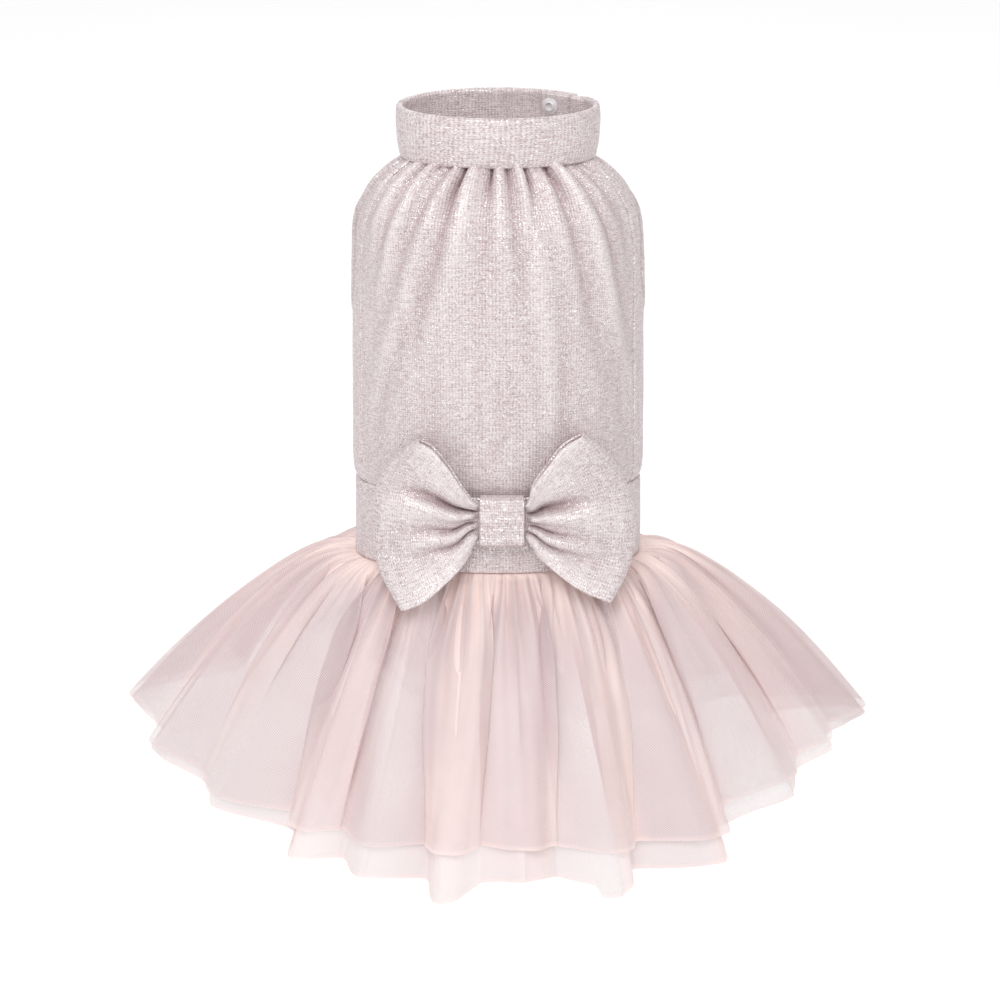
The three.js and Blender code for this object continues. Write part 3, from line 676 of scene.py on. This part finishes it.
# Bow: two loops of doubled knit, each folded back on itself and pinched at its middle end, and a strip of
# knit that wraps the pinch and is sewn to the waistband. The pinch throws folds that fan out over each loop.
BOW_X = 2.2
BOW_Z = -192
BOW_WALL = 1.8
PINCHED_GAP = 1.7
FULL_GAP = 6.2
END_GAP = 3.4
KNOT_HALF = 12.2
KNOT_WALL = 1.9
KNOT_BACK = -51.65
KNOT_HALF_HEIGHT = 11.8
KNOT_HALF_DEPTH = 4.2
KNOT_MIDDLE_Y = KNOT_BACK - KNOT_WALL - KNOT_HALF_DEPTH
LOOP_COLUMNS = (84, 14, 44)
LOOP_ROWS = 110
LOOP_CUT = (150, 75)
KNOT_GRID = (120, 30)
KNOT_MAP_WIDTH = 62
LOOP_SWEEP = 21
LOOP_REACH = 78

loop_edges = {
    "right": {
        "top": [(1, 9.4), (13.2, 9.9), (17, 20), (24.5, 31), (33, 41.5), (43, 47)],
        "end": [(43, 47), (56, 32), (66, 10.5), (68.8, -12), (66.2, -28), (58, -43)],
        "bottom": [(1, -9.4), (13.2, -9.9), (20, -19.5), (31, -28.5), (43, -36.5), (58, -43)],
    },
    "left": {
        "top": [(1, 9.4), (13.2, 9.9), (20.5, 17), (29, 30), (37.5, 40), (44.8, 43.5)],
        "end": [(44.8, 43.5), (57.5, 30.5), (65, 13), (66.2, -8), (64.6, -27), (53.5, -46.5)],
        "bottom": [(1, -9.4), (13.2, -10), (20, -22.5), (30.5, -32.5), (42, -41.5), (53.5, -46.5)],
    },
}
# place across the loop (0 top, 1 bottom) at the knot and at the end, height (a crevice is negative), width at
# the knot and at the end, how far out it starts to fade and where it has gone
loop_folds = {
    "right": [
        (0.06, 0.04, 2.8, 0.06, 0.05, 0.6, 1.3), (0.17, 0.2, 1.5, 0.04, 0.07, 0.5, 1),
        (0.27, 0.43, -6.2, 0.042, 0.034, 0.42, 0.92), (0.385, 0.52, 3.6, 0.042, 0.075, 0.6, 1.2),
        (0.46, 0.58, -1.6, 0.02, 0.035, 0.4, 1.05), (0.57, 0.66, -3.8, 0.028, 0.04, 0.36, 0.9),
        (0.68, 0.74, 2.2, 0.04, 0.06, 0.5, 1), (0.79, 0.8, -3.6, 0.03, 0.045, 0.4, 0.95),
        (0.92, 0.92, 2.8, 0.06, 0.07, 0.6, 1.2),
    ],
    "left": [
        (0.06, 0.04, 2.8, 0.06, 0.05, 0.6, 1.3), (0.15, 0.2, 1.4, 0.04, 0.07, 0.5, 1),
        (0.24, 0.38, -6.4, 0.04, 0.034, 0.5, 1), (0.36, 0.48, 3.6, 0.042, 0.075, 0.6, 1.2),
        (0.44, 0.53, -1.5, 0.02, 0.035, 0.4, 1), (0.56, 0.61, -4, 0.028, 0.04, 0.4, 0.95),
        (0.66, 0.7, 2.2, 0.04, 0.06, 0.5, 1), (0.77, 0.78, -3.4, 0.03, 0.045, 0.35, 0.9),
        (0.91, 0.92, 2.8, 0.06, 0.07, 0.6, 1.2),
    ],
}


def edge_curve(points):
    """A smooth curve through points spaced evenly along it."""
    corner = np.array(points, float)

    def at(share):
        place = np.clip(share, 0, 1) * (len(corner) - 1)
        i = np.minimum(place.astype(int), len(corner) - 2)
        t = (place - i)[:, None]
        before = corner[np.maximum(i - 1, 0)]
        after = corner[np.minimum(i + 2, len(corner) - 1)]
        leave = (corner[i + 1] - before) / 2
        arrive = (after - corner[i]) / 2
        gap = corner[i + 1] - corner[i]
        bend = t**2 * (3 * gap - 2 * leave - arrive)
        return corner[i] + t * leave + bend + t**3 * (leave + arrive - 2 * gap)

    return at


def loop_outline(edges, e, v):
    """A point of the loop's flat shape between its edges, e out from the knot and v down from its top
    edge."""
    top, end, bottom = (edge_curve(edges[name]) for name in ("top", "end", "bottom"))
    zero = np.zeros_like(e)
    one = zero + 1
    v1 = v[:, None]
    e1 = e[:, None]
    across = lerp(top(e), bottom(e), v1)
    along = lerp(lerp(top(zero), bottom(zero), v1), end(v), e1)
    corners = lerp(lerp(top(zero), top(one), e1), lerp(bottom(zero), bottom(one), e1), v1)
    return across + along - corners


def bow_depth(x, z):
    lean = 0.85 * np.maximum(0, -22 - z)
    clear = 1.3 * smooth(12, 26, np.abs(x))
    return KNOT_MIDDLE_Y - clear + LOOP_SWEEP * (np.abs(x) / LOOP_REACH) ** 2.2 - lean


def loop_place(name):
    side = 1 if name == "right" else -1
    front, end, back = LOOP_COLUMNS
    total = sum(LOOP_COLUMNS)

    def folds_at(e, v):
        fold = np.zeros_like(e)
        for start, stop, height, near_width, far_width, fade_from, fade_to in loop_folds[name]:
            carry = smooth(0.14, 0.22, e) * (1 - smooth(fade_from, fade_to, e))
            fold = fold + height * carry * bump(v - lerp(start, stop, e), lerp(near_width, far_width, e))
        return fold

    def find_ply(u):
        at = (u if side > 0 else 1 - u) * total
        on_front = at < front
        on_back = at > front + end
        e = np.where(on_front, at / front, np.where(on_back, (total - at) / back, 1.0))
        return at, on_front, on_back, e

    # painted shade on the front ply near the pinch and in its crevices, and painted highlight on its ridges
    def crease(u, v, _):
        _, on_front, _, e = find_ply(u)
        dark = 0.06 + 0.45 * (1 - smooth(0.15, 0.34, e)) - 0.2 * folds_at(e, crowd(v, 0.6))
        return np.clip(np.where(on_front, dark, 0), *PAINTED_SHADE_LIMITS)

    def place(u, v):
        v = crowd(v, 0.6)
        at, on_front, on_back, e = find_ply(u)
        turn = np.where(on_front, 0, np.where(on_back, np.pi, np.pi * (at - front) / end))
        flat = loop_outline(loop_edges[name], e, v)
        across = np.sin(np.pi * np.clip(v, 0, 1))
        full = lerp(PINCHED_GAP, FULL_GAP, smooth(0.16, 0.6, e)) * (0.6 + 0.4 * across)
        gap = lerp(np.maximum(full, PINCHED_GAP), END_GAP, smooth(0.6, 1, e))
        out = gap * np.cos(turn)
        fold = folds_at(e, v)
        out = out + np.where(on_front, fold, np.where(on_back, -0.35 * np.maximum(fold, 0), 0))
        beyond = np.where(on_front | on_back, 0, gap * np.sin(turn)) * across**0.5
        x = flat[:, 0] + beyond
        z = flat[:, 1]
        spot = np.stack([BOW_X + side * x, bow_depth(x, z) - out, BOW_Z + z], axis=-1)
        soft = smooth(0.2, 0.5, e)
        spot[:, 1] += soft * (0.5 * waver(spot, 17) + 0.2 * waver(spot, 7))
        return spot

    return place, crease


for name in ("right", "left"):
    place, crease = loop_place(name)
    loop_grid = (sum(LOOP_COLUMNS), LOOP_ROWS)
    piece = lay_cloth(f"bow_loop_{name}_knit", loop_grid, place, LOOP_CUT[0], wall=BOW_WALL, crease=crease)
    dress(piece, knit, f"bow_loop_{name}")


def knot_corner(value):
    return np.sign(value) * np.abs(value) ** 0.4


def knot_section(angle):
    out = (KNOT_HALF_DEPTH + KNOT_WALL / 2) * knot_corner(np.cos(angle))
    up = (KNOT_HALF_HEIGHT + KNOT_WALL / 2) * knot_corner(np.sin(angle))
    return np.stack([out, up], axis=-1)


knot_angles = np.linspace(np.pi, 3 * np.pi, 4001)
knot_lengths = run_along(knot_section(knot_angles))


def knot_place(u, v):
    v = crowd(v, 0.8)
    angle = np.interp(u * knot_lengths[-1], knot_lengths, knot_angles)
    out, up = knot_section(angle).T
    spot = np.stack([BOW_X + lerp(-KNOT_HALF, KNOT_HALF, v), KNOT_MIDDLE_Y - out, BOW_Z + up], axis=-1)
    front = smooth(0.0, 0.5, np.cos(angle))
    ruck = 0.5 * np.cos(2 * np.pi * (v + 0.12 * np.sin(up / 5)) * 2.5) * (np.abs(up) / 12) ** 1.5
    level = 0.22 * np.sin(up * 1.15 + 1.4 * np.sin(2.2 * np.pi * v) + 0.6)
    spot[..., 1] -= front * (1.2 * np.sin(np.pi * v) + 0.35 * waver(spot, 5) + ruck + level)
    return spot


piece = lay_cloth("bow_knot_knit", KNOT_GRID, knot_place, KNOT_MAP_WIDTH, wall=KNOT_WALL, closed=True)
dress(piece, knit, "bow_knot")


# Skirt: two long strips of fine tulle, gathered together along their top edges and sewn under the waistband.
# The inner one hangs lower. They are sheer: palest over white, pinkest where folds lie over each other.
SKIRT_TOP = -224.4
SKIRT_COLUMNS_PER_GATHER = 24
SKIRT_ROWS = 64
LAYER_GAP = 1.9
LAYER_SPREAD = 2.6
LONGER_OVER = 170
FRONT_CONVEX = 1.22
BACK_CONVEX = 1.68
SHOULDER_RISE = 3.5
SKIRT_CUT = (1450, 163)

# the big waves: angle of the crest from the front, how far out and down its hem hangs, how deep the fold
# after it dips, how far that fold draws the cloth over itself (times OVERLAP, below 0 with its other ply on
# top), how far the fold's bottom slants under the crest before it (over its depth), how much longer the inner
# layer is, and how many of the waist's gathers run into it
WAVE_COLUMNS = ("crest", "reach", "drop", "dip", "overlap", "slant", "longer", "gathers")
waves = [
    (6, 144, 128, 15, 8.5, 0.3, 17, 2), (26, 149, 132, 21, 12.5, 0.5, 18, 3),
    (51, 157, 134, 22, -15, 0.4, 13, 3), (74, 169, 116, 10, 8, -0.3, 9, 2), (89, 186, 107, 9, -4, -0.3, 6, 2),
    (105, 214, 105, 30, 11, 0.3, 4, 3), (133, 190, 110, 22, 9.5, 0.4, 13, 2),
    (153, 172, 121, 18, -10, -0.3, 15, 2), (171, 164, 109, 17, 8, 0.4, 15, 2),
    (189, 168, 120, 18, -10.5, -0.4, 15, 2), (206, 182, 99, 20, 9, 0.3, 12, 2),
    (224, 210, 76, 44, -14, 0, 8, 4), (255, 214, 97, 12, -4.5, -0.3, 4, 2),
    (272, 193, 108, 13, -6.5, -0.4, 5, 2), (294, 171, 120, 20, -13, -0.5, 6, 2),
    (314, 152, 128, 17, 8, 0.3, 15, 2), (331, 147, 130, 16, -10, -0.4, 17, 2),
    (349, 145, 131, 14, 7, 0.3, 21, 2),
]
OVERLAP = 0.8
wave = dict(zip(WAVE_COLUMNS, np.array(waves, float).T))
wave["over"] = OVERLAP * np.abs(wave["overlap"])
gather_ends = np.concatenate([[0], np.cumsum(wave["gathers"])])
GATHERS = gather_ends[-1]
FOLD_SHARPNESS = 1.22
FOLD_LIFT = 3.2


def doubling(t):
    """Goes slowly up to 1 before the middle of a wave, falls fast to -1 just after it and rises back: cloth
    that is moved along by this lies in three plies over the middle."""
    turn = 2 * np.pi * t
    return np.sqrt(FOLD_SHARPNESS**2 - 1) * np.sin(turn) / (FOLD_SHARPNESS + np.cos(turn))


def find_wave(u):
    """The wave at u, how far across it u lies, the angle there, and a function that blends one of its values
    into the next wave's."""
    at = (u % 1) * GATHERS
    i = np.clip(np.searchsorted(gather_ends, at, side="right") - 1, 0, len(waves) - 1)
    after = (i + 1) % len(waves)
    t = (at - gather_ends[i]) / wave["gathers"][i]
    angle = lerp(wave["crest"][i], wave["crest"][after] + np.where(after == 0, 360, 0), t)

    def blend(name):
        return lerp(wave[name][i], wave[name][after], t * t * (3 - 2 * t))

    return i, t, angle, blend


def skirt_spot(u, down, phase=0.0, inner=False):
    """A place on the tulle, down from 0 at the waist to 1 at the outer layer's hem."""
    i, t, angle, blend = find_wave(u)
    grow = down**1.15
    valley = (0.5 - 0.5 * np.cos(2 * np.pi * t)) ** 1.3
    trough = wave["dip"][i] * valley
    reach = blend("reach") - trough
    drop = blend("drop")
    drawn = wave["over"][i] * doubling(t)
    lifted = np.sign(wave["overlap"][i]) * doubling(t)
    if inner:
        drawn = 0.55 * drawn + 0.5 * blend("over") * doubling((t + 0.5) % 1)
        lifted = 0.5 * lifted + 0.5 * doubling((t + 0.5) % 1)
    held = smooth(0.02, 0.4, down) * (1 - 0.62 * smooth(0.55, 1.0, down))
    sideways = drawn * held - wave["slant"][i] * trough * down * smooth(0.1, 0.5, down)

    x = np.sin(np.radians(angle))
    y = -np.cos(np.radians(angle))
    waist = round_body(BAND_BOTTOM_HALF, angle, 0.0)
    turns = 2 * np.pi * u * GATHERS
    gathered = smooth(0, 0.05, down) * (1 - smooth(0.12, 0.62, down))
    uneven = 1 + 0.35 * np.sin(turns / GATHERS * 13 + 1.0 + phase)
    gathered = gathered * lerp(0.6, 1.0, smooth(0.03, 0.25, down))
    pairs = np.cos(2 * turns + 0.9 * np.sin(turns / GATHERS * 5))
    fine = gathered * uneven * (1.0 * np.cos(turns) + 2.5 * pairs)
    folds = np.sin(turns + phase + 1.7 * np.sin(turns / GATHERS * 7)) * smooth(0.1, 0.4, down)
    folds *= (2.2 + 1.0 * np.sin(turns / GATHERS * 11 + phase)) * (1 - 0.7 * smooth(0.6, 1, down))
    out = trough * (down - grow) + fine + folds + FOLD_LIFT * lifted * held
    spot = np.empty(u.shape + (3,))
    spot[..., 0] = lerp(waist[..., 0], x * reach, down) + x * out - y * sideways
    spot[..., 1] = lerp(waist[..., 1], y * reach, down) + y * out + x * sideways
    backness = 0.5 - 0.5 * np.cos(np.radians(angle))
    convex = lerp(FRONT_CONVEX, BACK_CONVEX, smooth(0, 0.5, backness))
    rise = SHOULDER_RISE * smooth(0.15, 0.6, backness)
    lift = (6 * down) ** 2 * (1.2 * np.clip(1 - down, 0, 1)) ** 10
    spot[..., 2] = SKIRT_TOP + rise * lift - drop * down**convex
    return spot


def outer_place(u, v):
    return skirt_spot(u + 0.5, v)


# the inner strip's lower corners: the angle where its edge steps down, where it has risen again, and the step
LOW_CORNERS = [(-16.5, 5, 5.5), (22.3, 34, 6), (160, 178, 9), (236, 222, 7)]


def inner_place(u, v):
    u = u + 0.5
    _, _, angle, blend = find_wave(u)
    longer = blend("longer")
    for start, end, corner in LOW_CORNERS:
        share = turn_between(angle, start) / (end - start)
        longer = longer + corner * smooth(-0.08, 0.0, share) * np.clip(1 - share, 0, 1) * (share < 1)
    down = v * (1 + longer / LONGER_OVER)
    spot = skirt_spot(u, down, 2.1, inner=True)
    spread = LAYER_GAP + LAYER_SPREAD * smooth(0.1, 0.9, down)
    outward = np.hypot(spot[..., 0], spot[..., 1])
    spot[..., 0] -= spread * spot[..., 0] / outward
    spot[..., 1] -= spread * spot[..., 1] / outward
    return spot


NET_PITCH = 1.1

netting, given, made = new_group(
    "tulle_net",
    [("Cloth", "Vector"), ("Cover", "Float"), ("Depth", "Float"), ("Light", "Color"), ("Dense Lit", "Color")],
    [("Color", "Color"), ("Alpha", "Float"), ("Height", "Float")],
)
scaled = calculate_vector(netting, "SCALE", given["Cloth"], 1000.0)
drift = calculate_vector(netting, "SCALE", noise(netting, scaled, 0.06, 1.0, 1), 2.5)
net = calculate_vector(netting, "ADD", scaled, drift)
axes = add_node(netting, "SeparateXYZ", {0: net}).outputs
sum_xy = calculate(netting, "ADD", axes[0], axes[1])
difference = calculate(netting, "SUBTRACT", axes[0], axes[1])
first = calculate(netting, "PINGPONG", sum_xy, NET_PITCH / 2)
second = calculate(netting, "PINGPONG", difference, NET_PITCH / 2)
near_thread = calculate(netting, "MINIMUM", first, second)
thread = remap(netting, near_thread, 0.06, 0.34, 1.0, 0.0)
cloud = noise(netting, scaled, 0.02, 2.0)
cover = calculate(netting, "MULTIPLY", given["Cover"], remap(netting, cloud, 0.3, 0.7, 0.9, 1.1))
# close under the waist the net is crushed into small upright pleats, too fine to be laid as folds: they
# thicken the net, and their light and shade is painted into its colour in stripes
pleat = noise(netting, calculate_vector(netting, "MULTIPLY", scaled, (0.11, 0.004, 1.0)), 1.0, 2.0)
down_cloth = add_node(netting, "SeparateXYZ", {0: scaled}).outputs[1]
near_waist = remap(netting, down_cloth, -62, 0, 0.0, 1.0)
pleat = calculate(netting, "MULTIPLY", remap(netting, pleat, 0.32, 0.68, -1.0, 1.0), near_waist)
panel = noise(netting, calculate_vector(netting, "MULTIPLY", scaled, (0.018, 0.0015, 1.0)), 1.0, 1.0)
cover = calculate(netting, "MULTIPLY", cover, remap(netting, panel, 0.35, 0.65, 0.72, 1.22))
depth = calculate(netting, "MULTIPLY_ADD", pleat, 0.65, given["Depth"])
cover = calculate(netting, "MULTIPLY_ADD", pleat, 0.12, cover)
open_share = calculate(netting, "MULTIPLY", cover, 1.05)
thread_share = calculate(netting, "MULTIPLY", cover, 0.75)
alpha = calculate(netting, "ADD", open_share, calculate(netting, "MULTIPLY", thread, thread_share))
alpha = calculate(netting, "MINIMUM", alpha, 0.96)
# the net's colour runs from a greyer one where it is thin, partly painted shade on its threads, to a
# brighter, pinker one where it is dense, partly painted light shining through its gathers
netting.links.new(blend_colours(netting, depth, given["Light"], given["Dense Lit"]), made["Color"])
netting.links.new(alpha, made["Alpha"])
netting.links.new(thread, made["Height"])

tulle, tree, shader = new_material("pink_tulle")
own_map = add_node(tree, "UVMap", uv_map="UVMap")
cover_here = add_node(tree, "Attribute", attribute_name="cover").outputs["Fac"]
pattern = add_node(tree, "Group", {
    "Cloth": own_map.outputs[0], "Cover": cover_here, "Light": (0.69, 0.565, 0.58, 1),
    "Dense Lit": (1.0, 0.815, 0.765, 1),
}, node_tree=netting)
# the share of the brighter, painted-light colour grows with how densely the net covers
tree.links.new(remap(tree, cover_here, 0.33, 0.66, 0.0, 1.0), pattern.inputs["Depth"])
tree.links.new(pattern.outputs["Color"], shader.inputs["Base Color"])
tree.links.new(pattern.outputs["Alpha"], shader.inputs["Alpha"])
shader.inputs["Roughness"].default_value = 0.6
shader.inputs["Sheen Weight"].default_value = 0.45
shader.inputs["Sheen Roughness"].default_value = 0.5
shader.inputs["Sheen Tint"].default_value = (1, 0.80, 0.76, 1)
shader.inputs["Specular IOR Level"].default_value = 0.2

SINGLE_COVER = 0.36
REAR_THINNING = 0.5
SIDE_THINNING = 0.1
HEM_COVER = 0.12


def cover_at(u, v, table):
    """How much of its area the net covers: more where the cloth is gathered closer than flat, and less low
    down at the back and sides."""
    along = np.linalg.norm(np.diff(table, axis=1), axis=2)
    along = np.concatenate([along, along[:, :1]], axis=1)
    around = np.ones(SKIRT_COLUMNS_PER_GATHER) / SKIRT_COLUMNS_PER_GATHER
    past = 60
    padded = np.concatenate([along[:, -past:], along, along[:, :past]], axis=1)
    along = np.array([np.convolve(row, around, "same")[past:-past] for row in padded])
    flat_step = SKIRT_CUT[0] / (table.shape[1] - 1)
    layers = np.clip(flat_step / read_table(along, u, v), 1, 6)
    cover = 1 - (1 - SINGLE_COVER) ** layers
    x, y, _ = read_table(table, u, v).T
    backness = smooth(0.45, 0.85, y / np.hypot(x, y))
    sideness = smooth(0.75, 1.0, np.abs(x) / np.hypot(x, y))
    cover *= 1 - REAR_THINNING * backness * smooth(0.35, 1.0, v)
    cover *= 1 - SIDE_THINNING * sideness * smooth(0.45, 1.0, v)
    return cover + HEM_COVER * (v == 1)


skirt_grid = (int(GATHERS) * SKIRT_COLUMNS_PER_GATHER, SKIRT_ROWS)
for name, place in (("outer", outer_place), ("inner", inner_place)):
    piece = lay_cloth(f"skirt_{name}_tulle", skirt_grid, place, SKIRT_CUT[0], closed=True, cover=cover_at)
    dress(piece, tulle, f"skirt_{name}")


# Stitching: rows of thread 2 to 5 mm from the edges that are turned and sewn down: round both leg holes, down
# the placket's outer ply and down the collar's outer end. Each stitch rises out of the cloth and goes back.
THREAD_RADIUS = 0.26
STITCH_LENGTH = 2.6
STITCH_SHARE = 0.78
STITCH_COLUMNS = 7
THREAD_SIDES = 8
STITCH_STEP = 0.001
LEG_STITCH_INSET = 4.8
PLACKET_STITCH_INSET = 2.0

thread, tree, shader = new_material("pink_thread")
own_map = add_node(tree, "UVMap", uv_map="UVMap")
twist = add_node(tree, "TexWave", {"Vector": own_map.outputs[0], "Scale": 700.0, "Distortion": 1.0})
tone = blend_colours(tree, twist.outputs["Fac"], (0.60, 0.50, 0.51, 1), (0.80, 0.71, 0.72, 1))
tree.links.new(tone, shader.inputs["Base Color"])
shader.inputs["Roughness"].default_value = 0.45


def sew(name, line_at):
    """Sews a row of stitches. line_at(share, lift) gives places along it, that far above the cloth."""
    share = np.linspace(0, 1, 1201)
    lengths = run_along(line_at(share, 0.0))
    stitches = int(round(lengths[-1] / STITCH_LENGTH))

    def place(u, v):
        at = np.interp(u * lengths[-1], lengths, share)
        part = (u * stitches) % 1
        up = np.sqrt(np.sin(np.pi * np.clip(part / STITCH_SHARE, 0, 1)))
        ahead = line_at(np.clip(at + STITCH_STEP, 0, 1), 0.0)
        along = unit(ahead - line_at(np.clip(at - STITCH_STEP, 0, 1), 0.0))
        middle = line_at(at, 0.0)
        out = unit(line_at(at, 1.0) - middle)
        aside = np.cross(along, out)
        radius = THREAD_RADIUS * lerp(0.35, 1.0, up)
        lift = lerp(-0.55, 0.12, up) + radius * np.cos(2 * np.pi * v)
        sideways = radius * np.sin(2 * np.pi * v)
        return middle + out * lift[:, None] + aside * sideways[:, None]

    grid = (stitches * STITCH_COLUMNS, THREAD_SIDES)
    piece = lay_cloth(name, grid, place, lengths[-1], closed=True, solid=True)
    dress(piece, thread)


hole_degrees = np.linspace(80, 150, 701)
hole_across = across_hole(hole_degrees)


def leg_line(side):
    def line_at(share, lift):
        turn = 2 * np.pi * share
        across = (LEG_HALF_WIDTH + LEG_STITCH_INSET) * np.cos(turn)
        z = LEG_CENTRE + (LEG_HALF_HEIGHT + LEG_STITCH_INSET) * np.sin(turn)
        degrees = np.interp(across, hole_across, hole_degrees)
        degrees = degrees if side > 0 else 360 - degrees
        return bodice_spot(degrees, z, -(BODICE_WALL / 2 - 0.35 + lift))

    return line_at


def placket_line(share, lift):
    z = lerp(-6.0, -178.0, share)
    degrees = back_angle(body_half(z), PLACKET_OUTER_EDGE - PLACKET_STITCH_INSET)
    return bodice_spot(degrees, z, -(BODICE_WALL / 2 + lift))


def collar_line(share, lift):
    v = lerp(0.12, 0.88, share)
    half = collar_half(v)
    degrees = back_angle(half, COLLAR_OUTER_EDGE - PLACKET_STITCH_INSET)
    return round_body(half, degrees, collar_level(v), COLLAR_WALL / 2 + lift)


sew("stitches_leg_right", leg_line(1))
sew("stitches_leg_left", leg_line(-1))
sew("stitches_placket", placket_line)
sew("stitches_collar", collar_line)


# Snaps: greyish clear plastic. Each has a domed cap that shows on the placket's or collar's outside, and a
# ring with a hole for its stud on the inside. They are pressed through the doubled cloth.
SNAP_RADIUS = 4.8
SNAP_HEIGHT = 1.6
SNAP_COLUMNS = 40
SNAP_MAP_WIDTH = 30
SNAP_GAP = 0.1
SNAP_HEIGHTS = (-44, -83, -122, -160)
SNAP_ACROSS = 35
COLLAR_SNAP_ACROSS = 31
COLLAR_SNAP_HEIGHT = 20.5
# places on a section from the middle out to the rim and back under: share of the radius, share of the height
cap_section = [
    (0, 0.8), (0.25, 0.84), (0.42, 0.93), (0.5, 1), (0.6, 0.99), (0.74, 0.86), (0.88, 0.6), (0.97, 0.32),
    (1, 0.12), (0.98, 0), (0.5, 0), (0, 0),
]
ring_section = [
    (0, 0.18), (0.3, 0.18), (0.36, 0.26), (0.4, 0.9), (0.47, 1), (0.56, 0.96), (0.62, 0.56), (0.8, 0.48),
    (0.93, 0.36), (1, 0.14), (0.98, 0), (0, 0),
]

snap_plastic, tree, shader = new_material("snap_plastic")
place_on = add_node(tree, "TexCoord")
speckle = noise(tree, place_on.outputs["Object"], 400.0, 3.0)
share = remap(tree, speckle, 0.35, 0.65, 0.0, 1.0)
tone = blend_colours(tree, share, (0.66, 0.63, 0.64, 1), (0.76, 0.73, 0.74, 1))
tree.links.new(tone, shader.inputs["Base Color"])
tree.links.new(remap(tree, speckle, 0.3, 0.7, 0.16, 0.28), shader.inputs["Roughness"])


def add_snap(node, section, spot_at, outwards):
    """Turns a section round the line out of the cloth. spot_at(turn, rise) gives places on the cloth near
    it."""
    middle = spot_at(0.0, 0.0)
    across = unit(spot_at(0.05, 0.0) - spot_at(-0.05, 0.0))
    out = outwards * unit(np.cross(across, spot_at(0.0, 0.05) - spot_at(0.0, -0.05)))
    up = np.cross(out, across)
    radii, heights = np.array(section).T

    def place(u, v):
        at = v * (len(section) - 1)
        radius = SNAP_RADIUS * np.interp(at, np.arange(len(section)), radii)
        height = SNAP_HEIGHT * np.interp(at, np.arange(len(section)), heights)
        turn = -2 * np.pi * u
        flat = np.cos(turn)[:, None] * across + np.sin(turn)[:, None] * up
        return middle + radius[:, None] * flat + height[:, None] * out

    grid = (SNAP_COLUMNS, len(section) - 1)
    piece = lay_cloth(node + "_plastic", grid, place, SNAP_MAP_WIDTH, closed=True, solid=True)
    dress(piece, snap_plastic, node)


def placket_spots(height, out):
    start = back_angle(float(body_half(np.array([height]))[0]), SNAP_ACROSS)

    def spot_at(turn, rise):
        return bodice_spot(np.array([start + turn]), np.array([height + rise], float), -out)[0]

    return spot_at


def collar_spots(out):
    def spot_at(turn, rise):
        v = 1 - (COLLAR_SNAP_HEIGHT + rise) / COLLAR_HEIGHT
        half = collar_half(v)
        return round_body(half, back_angle(half, COLLAR_SNAP_ACROSS) + turn, COLLAR_SNAP_HEIGHT + rise, out)

    return spot_at


PLY_STEP = BODICE_WALL + SEAM + 0.5
SNAP_OUT = BODICE_WALL / 2 + SNAP_GAP
COLLAR_SNAP_OUT = COLLAR_WALL / 2 + 2 * SNAP_GAP
for number, height in enumerate(SNAP_HEIGHTS, start=1):
    add_snap(f"snap_{number}_cap", cap_section, placket_spots(height, SNAP_OUT), 1)
    add_snap(f"snap_{number}_ring", ring_section, placket_spots(height, -PLY_STEP - SNAP_OUT), -1)
add_snap("snap_collar_cap", cap_section, collar_spots(COLLAR_SNAP_OUT), 1)
add_snap("snap_collar_ring", ring_section, collar_spots(-COLLAR_WALL - SEAM - COLLAR_SNAP_OUT), -1)


# Studio: a pale floor well below the hem, a soft lamp in front, one to each side and one over the floor
# behind, and the photograph's long lens. Sizes here are in metres.
FLOOR_Z = -0.9
SKY_STRENGTH = 0.64
bpy.ops.object.select_all(action="DESELECT")
bpy.ops.mesh.primitive_plane_add(size=40, location=(0, 0, FLOOR_Z))
floor = bpy.context.object
floor.name = "floor"
paper, tree, shader = new_material("floor_paper")
place_on = add_node(tree, "TexCoord")
grain = noise(tree, place_on.outputs["Object"], 3.0, 2.0)
white = blend_colours(tree, grain, (0.96, 0.96, 0.96, 1), (0.98, 0.98, 0.98, 1))
tree.links.new(white, shader.inputs["Base Color"])
shader.inputs["Roughness"].default_value = 0.9
floor.data.materials.append(paper)

world = bpy.data.worlds.new("studio")
bpy.context.scene.world = world
world.use_nodes = True
world.node_tree.nodes["Background"].inputs["Color"].default_value = (1, 1, 1, 1)
world.node_tree.nodes["Background"].inputs["Strength"].default_value = SKY_STRENGTH

lamps = [
    ("front_lamp", (-0.4, -3.0, 2.4), (54, 0, -8), 2.0, 74),
    ("left_lamp", (-2.6, -1.0, 1.6), (60, 0, -70), 1.6, 10),
    ("right_lamp", (2.8, -0.6, 1.5), (62, 0, 76), 1.6, 8),
    ("floor_lamp", (0, 3.7, 1.7), (0, 0, 0), 5.0, 58),
]
for name, spot, turn, size, power in lamps:
    bpy.ops.object.light_add(type="AREA", location=spot, rotation=[float(np.radians(a)) for a in turn])
    lamp = bpy.context.object
    lamp.name = name
    lamp.data.shape = "SQUARE"
    lamp.data.size = size
    lamp.data.energy = power

CAMERA_SPOT = (0.0011, -3.6, 0.775)
CAMERA_AIM = (0.0011, 0.0, -0.196)
CAMERA_LENS = 243.6
pitch = np.arctan2(CAMERA_AIM[1] - CAMERA_SPOT[1], CAMERA_SPOT[2] - CAMERA_AIM[2])
bpy.ops.object.camera_add(location=CAMERA_SPOT, rotation=(float(pitch), 0, 0))
camera = bpy.context.object
camera.data.lens = CAMERA_LENS
camera.data.sensor_width = 36
camera.data.clip_end = 100
bpy.context.scene.camera = camera
bpy.context.scene.view_settings.view_transform = "Standard"
bpy.context.scene.cycles.transparent_max_bounces = 24
